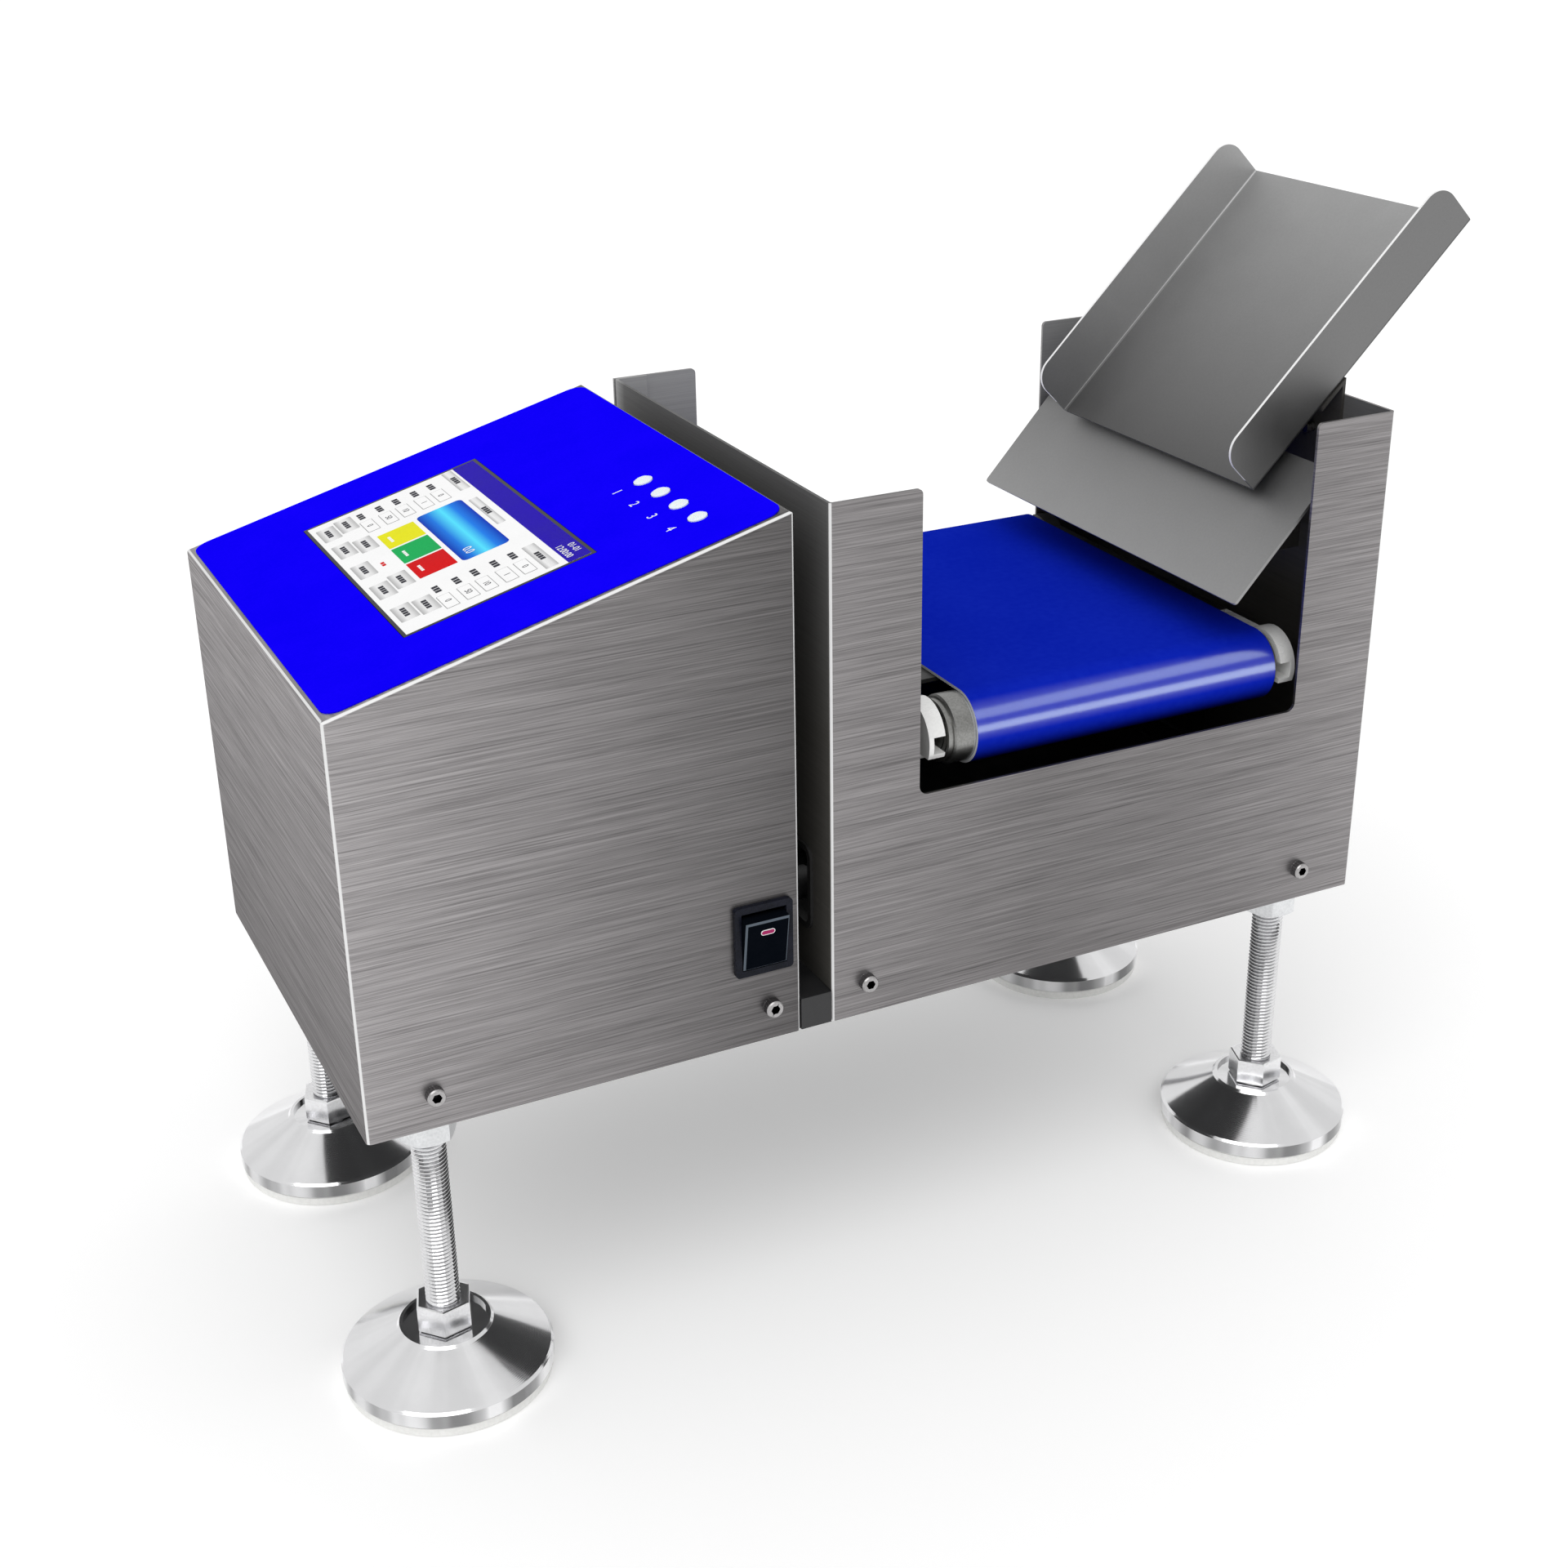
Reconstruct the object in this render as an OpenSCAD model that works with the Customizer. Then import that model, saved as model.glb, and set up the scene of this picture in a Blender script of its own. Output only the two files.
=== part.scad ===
// Bench checkweigher: a control box and a wind guard on one base tray, a short weigh belt on a load
// cell, an infeed chute and four levelling feet. Lengths are in millimetres.
// The part is drawn with the boxes' lower edge at zero, then lifted onto its feet.

/* [Layout] */
// Depth of both boxes, front to back
machine_d = 240; // [225:1:300]
// Clear gap between the control box and the guard
box_gap = 16; // [12:1:40]
// Sheet thickness of the covers, the guard and the chute
sheet_t = 1.5; // [1:0.1:2]
// Outside radius of the sheet bends
bend_r = 2.5; // [2.2:0.1:4]
// Height of the boxes' lower edge above the floor
stand_h = 146; // [130:1:180]

/* [Control box] */
// Length of the control box
box_l = 206; // [200:1:260]
// Height at the operator's end
box_h_low = 195; // [170:1:225]
// Height at the guard end
box_h_high = 250; // [235:1:300]

/* [Touch panel] */
// Width of the display, front to back
screen_w = 154.7; // [120:0.1:165]
// Height of the display along the slope
screen_h = 85.5; // [70:0.1:95]
// Distance from the low edge of the panel to the display, along the slope
screen_s = 51; // [40:0.5:55]
// Black border around the display
screen_border = 1.6; // [1:0.1:3]
// Thickness of the screen glass
screen_t = 3; // [2:0.1:4]
// Depth of the case behind the glass
case_d = 26; // [15:1:35]
// Thickness of the printed panel film
film_t = 0.5; // [0.3:0.1:1]
// Distance from the panel edges to the film
film_inset = 2.8; // [2.6:0.1:8]
// Corner radius of the film
film_r = 8; // [4:0.5:15]
// Diameter of a lamp window
lamp_d = 8.7; // [6:0.1:12]
// Spacing of the lamps
lamp_pitch = 19.8; // [15:0.1:24]
// Number of lamps
lamp_count = 4; // [1:1:5]
// Distance from the front face to the first lamp
lamp_y = 31.8; // [20:0.1:50]
// Distance from the high edge of the panel to the lamps, along the slope
lamp_edge = 31; // [22:0.5:40]

/* [Rocker switch] */
// Width of the switch frame
rocker_w = 28.5; // [24:0.5:32]
// Height of the switch frame
rocker_h = 35; // [34:0.5:42]
// Distance from the box's guard-side face to the switch centre
rocker_edge = 19; // [18:0.5:40]
// Height of the switch centre
rocker_z = 54; // [45:1:90]
// Tilt of the paddle at each end of its travel
rocker_tilt = 9; // [7:0.5:10]

/* [Guard] */
// Length of the guard
guard_l = 300; // [290:1:360]
// Height of the guard
guard_h = 250; // [220:1:300]
// Width of the posts beside the cut-outs
post_w = 45; // [35:1:48]
// Height of the sill below the cut-outs
sill_h = 106; // [90:1:110]
// Radius of the lower cut-out corners
sill_r = 4.5; // [2:0.5:10]
// Radius of the upper post corners
post_r = 2.5; // [2:0.5:10]
// Width of the cable opening in the walls beside the gap
port_w = 40; // [30:1:60]
// Height of the cable opening
port_h = 40; // [30:1:45]
// Distance from the front face to the cable opening
port_y = 20; // [15:1:40]
// Height of the cable opening's lower edge
port_z = 40; // [35:1:50]

/* [Weigh belt] */
// Width of the belt
belt_w = 168; // [140:1:170]
// Thickness of the belt
belt_t = 1.4; // [1:0.1:2]
// Height of the belt's top above the boxes' lower edge
belt_top = 142; // [136:0.5:160]
// Distance from the belt to the guard's right face
belt_right = 52; // [50:1:60]
// Distance from the guard's front face to the belt
belt_front = 8; // [5:0.5:15]
// Length of the belt past the guard's rear face
belt_rear_out = 10; // [6:0.5:12]
// Diameter of both rollers
roller_d = 33; // [30:0.5:34]
// Wall of the roller tubes
roller_wall = 2.5; // [1.5:0.1:4]
// Diameter of the roller shafts
shaft_d = 10; // [8:0.5:11]
// Height of the shaft between its flats
shaft_flat = 8; // [6:0.5:8]
// Width of the plain end band of the drum
drum_band = 13.5; // [8:0.5:15]
// Thickness of the roller holders and side plates
holder_t = 8.5; // [7:0.5:9]
// Gap between a roller end and its holder
roller_gap = 3; // [1.5:0.5:4]
// Height of the side plates
plate_h = 26; // [22:1:30]

/* [Load cell] */
// Length of the load cell
cell_l = 130; // [110:1:140]
// Width of the load cell
cell_w = 30; // [25:1:40]
// Height of the load cell
cell_h = 22; // [20:1:30]
// Thickness of the spacers below and above the load cell
cell_gap = 8; // [5:0.5:12]
// Thickness of the weigh bracket
bracket_t = 3; // [2:0.5:4]

/* [Chute] */
// Width of the chute channel
chute_w = 169; // [140:1:180]
// Length of the chute channel along its slope
chute_len = 166; // [120:1:200]
// Height of the channel's flanges
chute_flange = 28; // [15:1:40]
// Slope of the channel
chute_slope = 45; // [40:1:50]
// Distance from the guard's right face to the channel's low end
chute_inset = 52; // [45:1:60]
// Height of the channel's low end above the deflector's low edge
chute_rise = 44; // [40:1:60]
// Radius of the channel's flange corners
chute_r = 11; // [4:0.5:13]
// Slope of the deflector plate
deflector_slope = 47.5; // [44:0.5:50]
// Length of the deflector plate along its slope
deflector_len = 78.5; // [60:0.5:85]
// Distance from the guard's right face to the deflector's low edge
deflector_inset = 82; // [75:1:90]
// Height of the deflector's low edge above the belt
deflector_lift = 24; // [20:0.5:30]
// Clearance between the deflector and the guard panels
deflector_side = 4; // [2:0.5:10]

/* [Feet] */
// Distance from the end faces to the foot axes
foot_x = 32; // [26:1:40]
// Distance from the front and rear faces to the foot axes
foot_y = 22; // [20:1:30]
// Diameter of the cone bases
base_d = 98; // [70:1:110]
// Height of the flat rim of the bases
rim_h = 9; // [6:0.5:12]
// Height of the cone above the rim
cone_h = 15; // [10:0.5:22]
// Diameter of the flat on top of the cone
hub_d = 42; // [34:0.5:50]
// Height of the soft sole below the rim
sole_t = 5; // [3:0.5:8]
// Diameter of the studs
stud_d = 16; // [12:1:18]
// Width across the flats of the nuts and the stud's hex
nut_af = 24; // [22:1:27]
// Height of the flanged lock nuts
nut_h = 16; // [10:0.5:18]

/* [Fasteners] */
// Diameter of the cover screws
screw_d = 5; // [4:1:6]
// Height of the cover screws above the boxes' lower edge
screw_z = 17; // [14:0.5:20]
// Distance from the box's outer end to its first screw
box_screw_a = 31; // [25:1:50]
// Distance from the box's gap end to its second screw
box_screw_b = 15; // [12:1:30]
// Distance from the guard's gap end to its first screw
guard_screw_a = 18; // [12:1:30]
// Distance from the guard's outer end to its second screw
guard_screw_b = 34; // [12:1:45]

/* [Hidden] */
$fn = 64;
// Part of the assembly to draw

// Clearances shared by pieces that meet
cover_fit = 0.3;
running_fit = 0.05;
belt_fit = 0.08;
window_fit = 0.3;
// Overshoot of cutting tools past the faces that they cut
cut = 2;

// Layout derived from the sizes above
guard_x = box_l + box_gap;
guard_r = guard_x + guard_l;
slope = atan((box_h_high - box_h_low) / box_l);
slope_l = box_l / cos(slope);
inner_r = bend_r - sheet_t;
tray_in = sheet_t + cover_fit;
tray_t = 2;
tray_l = guard_r - 2 * tray_in;
tray_w = machine_d - 2 * tray_in;
flange_h = 30;
bridge_h = 16;

// Rollers and belt
belt_x = guard_r - belt_right - belt_w;
belt_r = roller_d / 2 + belt_fit + belt_t;
axle_z = belt_top - belt_r;
drum_y = belt_front + belt_r;
tail_y = machine_d + belt_rear_out - belt_r;
roller_over = 1;
roller_x = belt_x - roller_over;
roller_l = belt_w + 2 * roller_over;
left_in = belt_x - drum_band - roller_gap;
right_in = belt_x + belt_w + roller_over + roller_gap;
left_out = left_in - holder_t;
right_out = right_in + holder_t;
holder_back = roller_d / 2 + 5;
lap_l = 18;
plate_z = axle_z - plate_h / 2;
plate_front = drum_y + holder_back;
plate_rear = tail_y - holder_back;

// Weigh bracket stack
cell_x = (left_out + right_out - cell_l) / 2;
cell_y = (machine_d - cell_w) / 2;
cell_z = tray_t + cell_gap;
bracket_z = cell_z + cell_h + cell_gap;
bracket_y0 = plate_front + lap_l + 12;
bracket_y1 = plate_rear - lap_l - 12;

// Chute placement: the channel also has to pass over the guard's right wall
wall_clear = 8;
deflector_z = belt_top + deflector_lift;
wall_rise = chute_inset * tan(chute_slope) - sheet_t / cos(chute_slope);
chute_z = max(deflector_z + chute_rise, guard_h + wall_clear - wall_rise);
chute_x = guard_r - chute_inset;
chute_y = (machine_d - chute_w) / 2;
chute_tip = chute_x + chute_len * cos(chute_slope) + sheet_t * sin(chute_slope);
wall_x = guard_r - sheet_t;
deflector_x = guard_r - deflector_inset;

// Feet
base_h = sole_t + rim_h + cone_h;
stud_over = 10;
boss_h = 13;
foot_xs = [foot_x, guard_r - foot_x];
foot_ys = [foot_y, machine_d - foot_y];

// Middle of the outline, put over the origin
edge_left = min(0, foot_x - base_d / 2);
edge_right = max(guard_r, chute_tip, guard_r - foot_x + base_d / 2);
edge_front = min(0, foot_y - base_d / 2);
edge_rear = max(machine_d + belt_rear_out, machine_d - foot_y + base_d / 2);
mid_x = (edge_left + edge_right) / 2;
mid_y = (edge_front + edge_rear) / 2;

// Cover screws: distance along the machine of each one
screw_xs = [box_screw_a, box_l - box_screw_b, guard_x + guard_screw_a, guard_r - guard_screw_b];
head_d = 1.7 * screw_d;
head_h = screw_d - 0.5;
boss_len = 4;

steel = [0.62, 0.61, 0.60];
dark = [0.12, 0.12, 0.13];
chrome = [0.82, 0.83, 0.85];
alu = [0.72, 0.73, 0.75];
black = [0.05, 0.05, 0.06];
zinc = [0.66, 0.66, 0.62];
film_blue = [0.05, 0.02, 0.85];
belt_blue = [0.05, 0.11, 0.58];
board_green = [0.05, 0.30, 0.14];
pale = [0.88, 0.88, 0.84];

module machine() {
    translate([-mid_x, -mid_y, stand_h]) children();
}

// A flat shape in x and z, pulled along y
module along_y(len) {
    translate([0, len, 0]) rotate([90, 0, 0]) linear_extrude(len) children();
}

// A flat shape in y and z, pulled along x
module along_x(len) {
    rotate([90, 0, 90]) linear_extrude(len) children();
}

// Local frame of the sloped panel: x up the slope, z out of the panel
module on_slope() {
    translate([0, 0, box_h_low]) rotate([0, -slope, 0]) children();
}

module round_rect(w, h, r) {
    translate([r, 0]) square([w - 2 * r, h]);
    translate([0, r]) square([w, h - 2 * r]);
    for (x = [r, w - r], y = [r, h - r]) translate([x, y]) circle(r);
}

module pill(l, d) {
    square([l - d, d], center = true);
    for (side = [-1, 1]) translate([side * (l - d) / 2, 0]) circle(d = d);
}

// Convex outline with its own radius at each corner
function unit(v) = v / norm(v);
function to_prev(p, i) = unit(p[(i + len(p) - 1) % len(p)] - p[i]);
function to_next(p, i) = unit(p[(i + 1) % len(p)] - p[i]);
function half_turn(p, i) = acos(to_prev(p, i) * to_next(p, i)) / 2;
function run(p, i, r) = r / tan(half_turn(p, i));

module round_poly(p, radii) {
    last = len(p) - 1;
    outline = [for (i = [0:last], side = [0, 1])
        p[i] + (side == 0 ? to_prev(p, i) : to_next(p, i)) * run(p, i, radii[i])];
    polygon(outline);
    for (i = [0:last]) if (radii[i] > 0)
        translate(p[i] + unit(to_prev(p, i) + to_next(p, i)) * radii[i] / sin(half_turn(p, i)))
            circle(radii[i]);
}

module hex_prism(af, h) {
    cylinder(d = af / cos(30), h = h, $fn = 6);
}

// Socket-head screw: seat at zero, head up, shank down
module socket_screw(d, l) {
    difference() {
        union() {
            cylinder(d = 1.7 * d, h = d - 0.5);
            translate([0, 0, -l]) cylinder(d = d, h = l);
        }
        translate([0, 0, 0.4 * d]) hex_prism(0.8 * d, d);
    }
}

// Base tray and feet

module base_tray() color(dark) machine() difference() {
    tray_r = inner_r + cover_fit;
    union() {
        difference() {
            translate([tray_in, tray_in, 0]) linear_extrude(flange_h)
                round_rect(tray_l, tray_w, tray_r);
            translate([tray_in + tray_t, tray_in + tray_t, tray_t]) linear_extrude(flange_h)
                round_rect(tray_l - 2 * tray_t, tray_w - 2 * tray_t, tray_r / 2);
        }
        for (x = screw_xs) {
            translate([x, tray_in + tray_t + boss_len, screw_z]) rotate([90, 0, 0])
                cylinder(d = 1.8 * screw_d, h = boss_len);
            translate([x, machine_d - tray_in - tray_t, screw_z]) rotate([90, 0, 0])
                cylinder(d = 1.8 * screw_d, h = boss_len);
        }
    }
    translate([box_l - tray_in, -cut, bridge_h - sheet_t])
        cube([box_gap + 2 * tray_in, machine_d + 2 * cut, flange_h]);
    for (x = screw_xs) translate([x, -cut, screw_z]) rotate([-90, 0, 0])
        cylinder(d = screw_d + 2 * running_fit, h = machine_d + 2 * cut);
    for (x = foot_xs, y = foot_ys) translate([x, y, -cut])
        cylinder(d = stud_d + 1, h = tray_t + 2 * cut);
}

module nut_set(z, h) {
    for (x = foot_xs, y = foot_ys) translate([x, y, z]) difference() {
        intersection() {
            hex_prism(nut_af, h);
            chamfered_round(nut_af, h);
        }
        translate([0, 0, -cut]) cylinder(d = stud_d + 2 * running_fit, h = h + 2 * cut);
    }
}

// Turned blank that takes the corners off a hex
module chamfered_round(af, h) {
    outer_r = af / cos(30) / 2 + 0.4;
    flat_r = af / 2 - 0.3;
    drop = (outer_r - flat_r) / 2;
    rotate_extrude() polygon([[0, 0], [flat_r, 0], [outer_r, drop], [outer_r, h - drop],
        [flat_r, h], [0, h]]);
}

module stud_bosses() color(zinc) machine() nut_set(tray_t, boss_h);

// Hex nuts with a round flange under the tray
module lock_nuts() color(chrome) machine() {
    flange_d = 1.3 * nut_af;
    flange_t = 2.4;
    nut_set(-nut_h, nut_h);
    for (x = foot_xs, y = foot_ys) translate([x, y, -flange_t]) difference() {
        cylinder(d = flange_d, h = flange_t);
        translate([0, 0, -cut]) cylinder(d = stud_d + 2 * running_fit, h = flange_t + 2 * cut);
    }
}

spigot_d = 12;
spigot_l = 10;
neck_d = 20;
neck_h = 0.5;
collar_h = 14;
collar_turn = 42;
hub_sink = 2;
hub_lip = 1.5;

// Stud with its hex collar on the hub of the base; the lower spigot sits in the base
module stud(x, y) color(chrome) machine() translate([x, y, base_h - hub_sink - stand_h]) {
    stud_l = stand_h - base_h + hub_sink + tray_t + boss_h + stud_over;
    tip = 1.5;
    translate([0, 0, -spigot_l]) cylinder(d = spigot_d, h = spigot_l);
    cylinder(d = stud_d, h = stud_l - tip);
    translate([0, 0, stud_l - tip]) cylinder(d1 = stud_d, d2 = stud_d - 2 * tip, h = tip);
    cylinder(d = neck_d, h = neck_h);
    translate([0, 0, neck_h]) rotate([0, 0, collar_turn]) intersection() {
        hex_prism(nut_af, collar_h);
        chamfered_round(nut_af, collar_h);
    }
}

sole_step = 4;
sole_lip = 2;

module cone_base(x, y) color(chrome) machine() translate([x, y, -stand_h]) rotate_extrude() {
    r = base_d / 2;
    soft = 1.2;
    top = sole_t + rim_h;
    hub_z = base_h - hub_sink;
    hub_r = hub_d / 2 - hub_lip;
    polygon([[0, sole_t + sole_lip], [r - sole_step, sole_t + sole_lip], [r - sole_step, sole_t],
        [r - soft, sole_t], [r, sole_t + soft], [r, top - soft], [r - soft, top],
        [hub_d / 2 + soft, base_h - soft], [hub_d / 2, base_h], [hub_r, base_h], [hub_r, hub_z],
        [spigot_d / 2, hub_z], [spigot_d / 2, hub_z - spigot_l], [0, hub_z - spigot_l]]);
}

module sole(x, y) color(pale) machine() translate([x, y, -stand_h]) rotate_extrude() {
    r = base_d / 2 - 1;
    soft = 1;
    polygon([[0, 0], [r - soft, 0], [r, soft], [r, sole_t], [r + 1 - sole_step, sole_t],
        [r + 1 - sole_step, sole_t + sole_lip], [0, sole_t + sole_lip]]);
}

module stud_front_left() stud(foot_xs[0], foot_ys[0]);
module stud_front_right() stud(foot_xs[1], foot_ys[0]);
module stud_rear_left() stud(foot_xs[0], foot_ys[1]);
module stud_rear_right() stud(foot_xs[1], foot_ys[1]);
module foot_front_left() cone_base(foot_xs[0], foot_ys[0]);
module foot_front_right() cone_base(foot_xs[1], foot_ys[0]);
module foot_rear_left() cone_base(foot_xs[0], foot_ys[1]);
module foot_rear_right() cone_base(foot_xs[1], foot_ys[1]);
module sole_front_left() sole(foot_xs[0], foot_ys[0]);
module sole_front_right() sole(foot_xs[1], foot_ys[0]);
module sole_rear_left() sole(foot_xs[0], foot_ys[1]);
module sole_rear_right() sole(foot_xs[1], foot_ys[1]);

// Cover strip that closes the tray between the boxes
module gap_bridge() color(dark) machine() {
    strip_l = box_gap - 2 * cover_fit;
    translate([box_l + cover_fit, cover_fit, 0]) difference() {
        cube([strip_l, machine_d - 2 * cover_fit, bridge_h]);
        translate([-cut, sheet_t, -cut])
            cube([strip_l + 2 * cut, machine_d - 2 * cover_fit - 2 * sheet_t, bridge_h - sheet_t + cut]);
    }
}

rear_screw_zs = [40, guard_h - 20];
rear_screw_d = 4;
rear_flange = 16;
rear_screw_x = sheet_t + rear_flange / 2;

module cover_screws() color(chrome) machine() {
    shank = sheet_t + tray_t + boss_len;
    for (x = screw_xs) {
        translate([x, 0, screw_z]) rotate([90, 0, 0]) socket_screw(screw_d, shank);
        translate([x, machine_d, screw_z]) rotate([-90, 0, 0]) socket_screw(screw_d, shank);
    }
    for (x = [guard_x + rear_screw_x, guard_r - rear_screw_x], z = rear_screw_zs)
        translate([x, machine_d, z]) rotate([-90, 0, 0]) socket_screw(rear_screw_d, 4 * sheet_t);
}

// Control box

function slope_top(x) = box_h_low + x * tan(slope);

// Block bounded by the box's walls, each moved in by the inset
module box_block(inset, low) {
    r = bend_r - inset;
    drop = inset / cos(slope);
    intersection() {
        along_y(machine_d) round_poly([[inset, low], [box_l - inset, low],
            [box_l - inset, slope_top(box_l - inset) - drop], [inset, slope_top(inset) - drop]],
            [0, 0, r, r]);
        translate([inset, inset, low]) linear_extrude(2 * box_h_high)
            round_rect(box_l - 2 * inset, machine_d - 2 * inset, r);
        on_slope() translate([-slope_l, 0, 0]) along_x(3 * slope_l)
            round_poly([[inset, -2 * box_h_high], [machine_d - inset, -2 * box_h_high],
                [machine_d - inset, -inset], [inset, -inset]], [0, 0, r, r]);
    }
}

screen_y = (machine_d - screen_w) / 2;
glass_w = screen_w + 2 * screen_border;
glass_h = screen_h + 2 * screen_border;
lamp_s = slope_l - lamp_edge;
lamp_ys = [for (i = [0:lamp_count - 1]) lamp_y + i * lamp_pitch];

// Openings of the panel, shared by the cover and its film
module panel_cuts() {
    translate([screen_s - screen_border - window_fit, screen_y - screen_border - window_fit, -10])
        cube([glass_h + 2 * window_fit, glass_w + 2 * window_fit, 20]);
    for (y = lamp_ys) translate([lamp_s, y, -10]) cylinder(d = lamp_d + 2 * window_fit, h = 20);
}

rocker_x = box_l - rocker_edge;
rocker_body_w = rocker_w - 4;
rocker_body_h = rocker_h - 4;
inlet_x = 110;
inlet_z = 70;
inlet_body_w = 28;
inlet_body_h = 21;

module port_cut(x) {
    port_r = 5;
    translate([x - cut, port_y, port_z]) along_x(sheet_t + 2 * cut) round_rect(port_w, port_h, port_r);
}

module control_housing() color(steel) machine() difference() {
    box_block(0, 0);
    box_block(sheet_t, -cut);
    on_slope() panel_cuts();
    translate([rocker_x - rocker_body_w / 2 - window_fit, -cut, rocker_z - rocker_body_h / 2 - window_fit])
        cube([rocker_body_w + 2 * window_fit, sheet_t + 2 * cut, rocker_body_h + 2 * window_fit]);
    translate([inlet_x - inlet_body_w / 2 - window_fit, machine_d - sheet_t - cut,
        inlet_z - inlet_body_h / 2 - window_fit])
        cube([inlet_body_w + 2 * window_fit, sheet_t + 2 * cut, inlet_body_h + 2 * window_fit]);
    for (i = [0, 1]) translate([screw_xs[i], -cut, screw_z]) rotate([-90, 0, 0])
        cylinder(d = screw_d + 2 * cover_fit, h = machine_d + 2 * cut);
    translate([box_l - sheet_t - cut, sheet_t, -cut])
        cube([sheet_t + 2 * cut, machine_d - 2 * sheet_t, bridge_h + cover_fit + cut]);
    port_cut(box_l - sheet_t);
}

module panel_film() color(film_blue) machine() on_slope() difference() {
    translate([film_inset, film_inset, 0]) linear_extrude(film_t)
        round_rect(slope_l - 2 * film_inset, machine_d - 2 * film_inset, film_r);
    panel_cuts();
}

glass_z = film_t - screen_t;

module touch_screen() color(black) machine() on_slope()
    translate([screen_s - screen_border, screen_y - screen_border, glass_z])
        cube([glass_h, glass_w, screen_t]);

case_rim = 8;
case_l = glass_h + 2 * case_rim;
case_w = glass_w + 2 * case_rim;
case_s = screen_s - screen_border - case_rim;
case_y = screen_y - screen_border - case_rim;

module screen_case() color(dark) machine() on_slope() difference() {
    translate([case_s, case_y, glass_z - case_d])
        cube([case_l, case_w, case_d - glass_z - sheet_t]);
    translate([case_s + case_rim - window_fit, case_y + case_rim - window_fit, glass_z])
        cube([glass_h + 2 * window_fit, glass_w + 2 * window_fit, screen_t]);
    for (i = [0:4]) translate([case_s + case_rim + i * 2 * case_rim, case_y - cut, glass_z - case_d - cut])
        cube([case_rim / 2, 2 * case_rim, case_d / 2]);
}

module screen_clamps() color(zinc) machine() on_slope() {
    clamp_w = 10;
    clamp_t = 3;
    low = glass_z - case_d - clamp_t;
    for (s = [case_s + 2 * clamp_w, case_s + case_l - 3 * clamp_w]) {
        translate([s, case_y - cover_fit - clamp_w, low]) {
            cube([clamp_w, clamp_w, -sheet_t - low]);
            cube([clamp_w, 2 * clamp_w, clamp_t]);
        }
        translate([s, case_y + case_w + cover_fit, low]) {
            cube([clamp_w, clamp_w, -sheet_t - low]);
            translate([0, -clamp_w, 0]) cube([clamp_w, 2 * clamp_w, clamp_t]);
        }
    }
}

lens_l = 7;
lens_up = 0.4;

module lamp_lenses() color(pale) machine() on_slope() for (y = lamp_ys) translate([lamp_s, y, 0]) {
    dome = 0.6;
    translate([0, 0, -sheet_t - lens_l]) cylinder(d = lamp_d, h = sheet_t + lens_l + film_t + lens_up);
    translate([0, 0, film_t + lens_up]) cylinder(d1 = lamp_d, d2 = lamp_d - 4 * dome, h = dome);
}

module lamp_board() color(board_green) machine() on_slope() {
    board_w = 16;
    board_t = 1.6;
    over = 12;
    post = 6;
    first = lamp_ys[0] - over;
    board_l = lamp_ys[lamp_count - 1] - first + over;
    translate([lamp_s - board_w / 2, first, -sheet_t - lens_l - board_t]) cube([board_w, board_l, board_t]);
    for (y = [first + post / 2, first + board_l - post / 2])
        translate([lamp_s, y, -sheet_t - lens_l]) cylinder(d = post, h = lens_l);
}

rocker_proud = 2.5;
paddle_w = rocker_w - 7;
paddle_gap = 0.35;
paddle_open = rocker_h - 6.4;
paddle_proud = 2.8;
paddle_edge = 0.8;
pivot_y = 4;
pivot_d = 3;
pivot_l = 1.4;
face_y = pivot_y + rocker_proud + paddle_proud;
paddle_half = (paddle_open / 2 - 0.3 - face_y * sin(rocker_tilt)) / cos(rocker_tilt);
rocker_depth = 24;

module rocker_place() {
    translate([rocker_x, 0, rocker_z]) children();
}

module rocker_frame() color(black) machine() rocker_place() difference() {
    union() {
        translate([-rocker_w / 2, -rocker_proud, -rocker_h / 2]) along_y(rocker_proud)
            round_rect(rocker_w, rocker_h, 2);
        translate([-rocker_body_w / 2, 0, -rocker_body_h / 2])
            cube([rocker_body_w, rocker_depth, rocker_body_h]);
    }
    translate([-paddle_w / 2 - paddle_gap, -rocker_proud - cut, -paddle_open / 2])
        cube([paddle_w + 2 * paddle_gap, rocker_proud + cut + rocker_depth - 3, paddle_open]);
    translate([-rocker_body_w / 2 - cut, pivot_y, 0]) rotate([0, 90, 0])
        cylinder(d = pivot_d + 2 * running_fit, h = rocker_body_w + 2 * cut);
}

// Outline of the paddle about its pivot: flat in front with bevelled edges, narrower behind
module paddle_shape() {
    flat_end = paddle_half - paddle_edge;
    side = [[-face_y, flat_end], [paddle_edge - face_y, paddle_half], [-2, paddle_half - 0.6],
        [4, paddle_half / 2]];
    polygon(concat(side, [for (i = [3:-1:0]) [side[i][0], -side[i][1]]]));
}

// Plan of the paddle, which bevels the two side edges of its face
module paddle_plan() {
    half_w = paddle_w / 2;
    polygon([[-half_w, 5], [-half_w, paddle_edge - face_y], [paddle_edge - half_w, -face_y],
        [half_w - paddle_edge, -face_y], [half_w, paddle_edge - face_y], [half_w, 5]]);
}

// At rest the lower half is pressed in
module paddle_place() {
    rocker_place() translate([0, pivot_y, 0]) rotate([rocker_tilt, 0, 0]) children();
}

lens_z = 6.9;
lens_w = 6.4;
lens_h = 2.2;
lens_sink = 1;
lens_proud = 0.25;

// Frame on the paddle's face: x across, y up the face, z out of it
module on_paddle_face() {
    translate([0, -face_y, lens_z]) rotate([90, 0, 0]) children();
}

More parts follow.
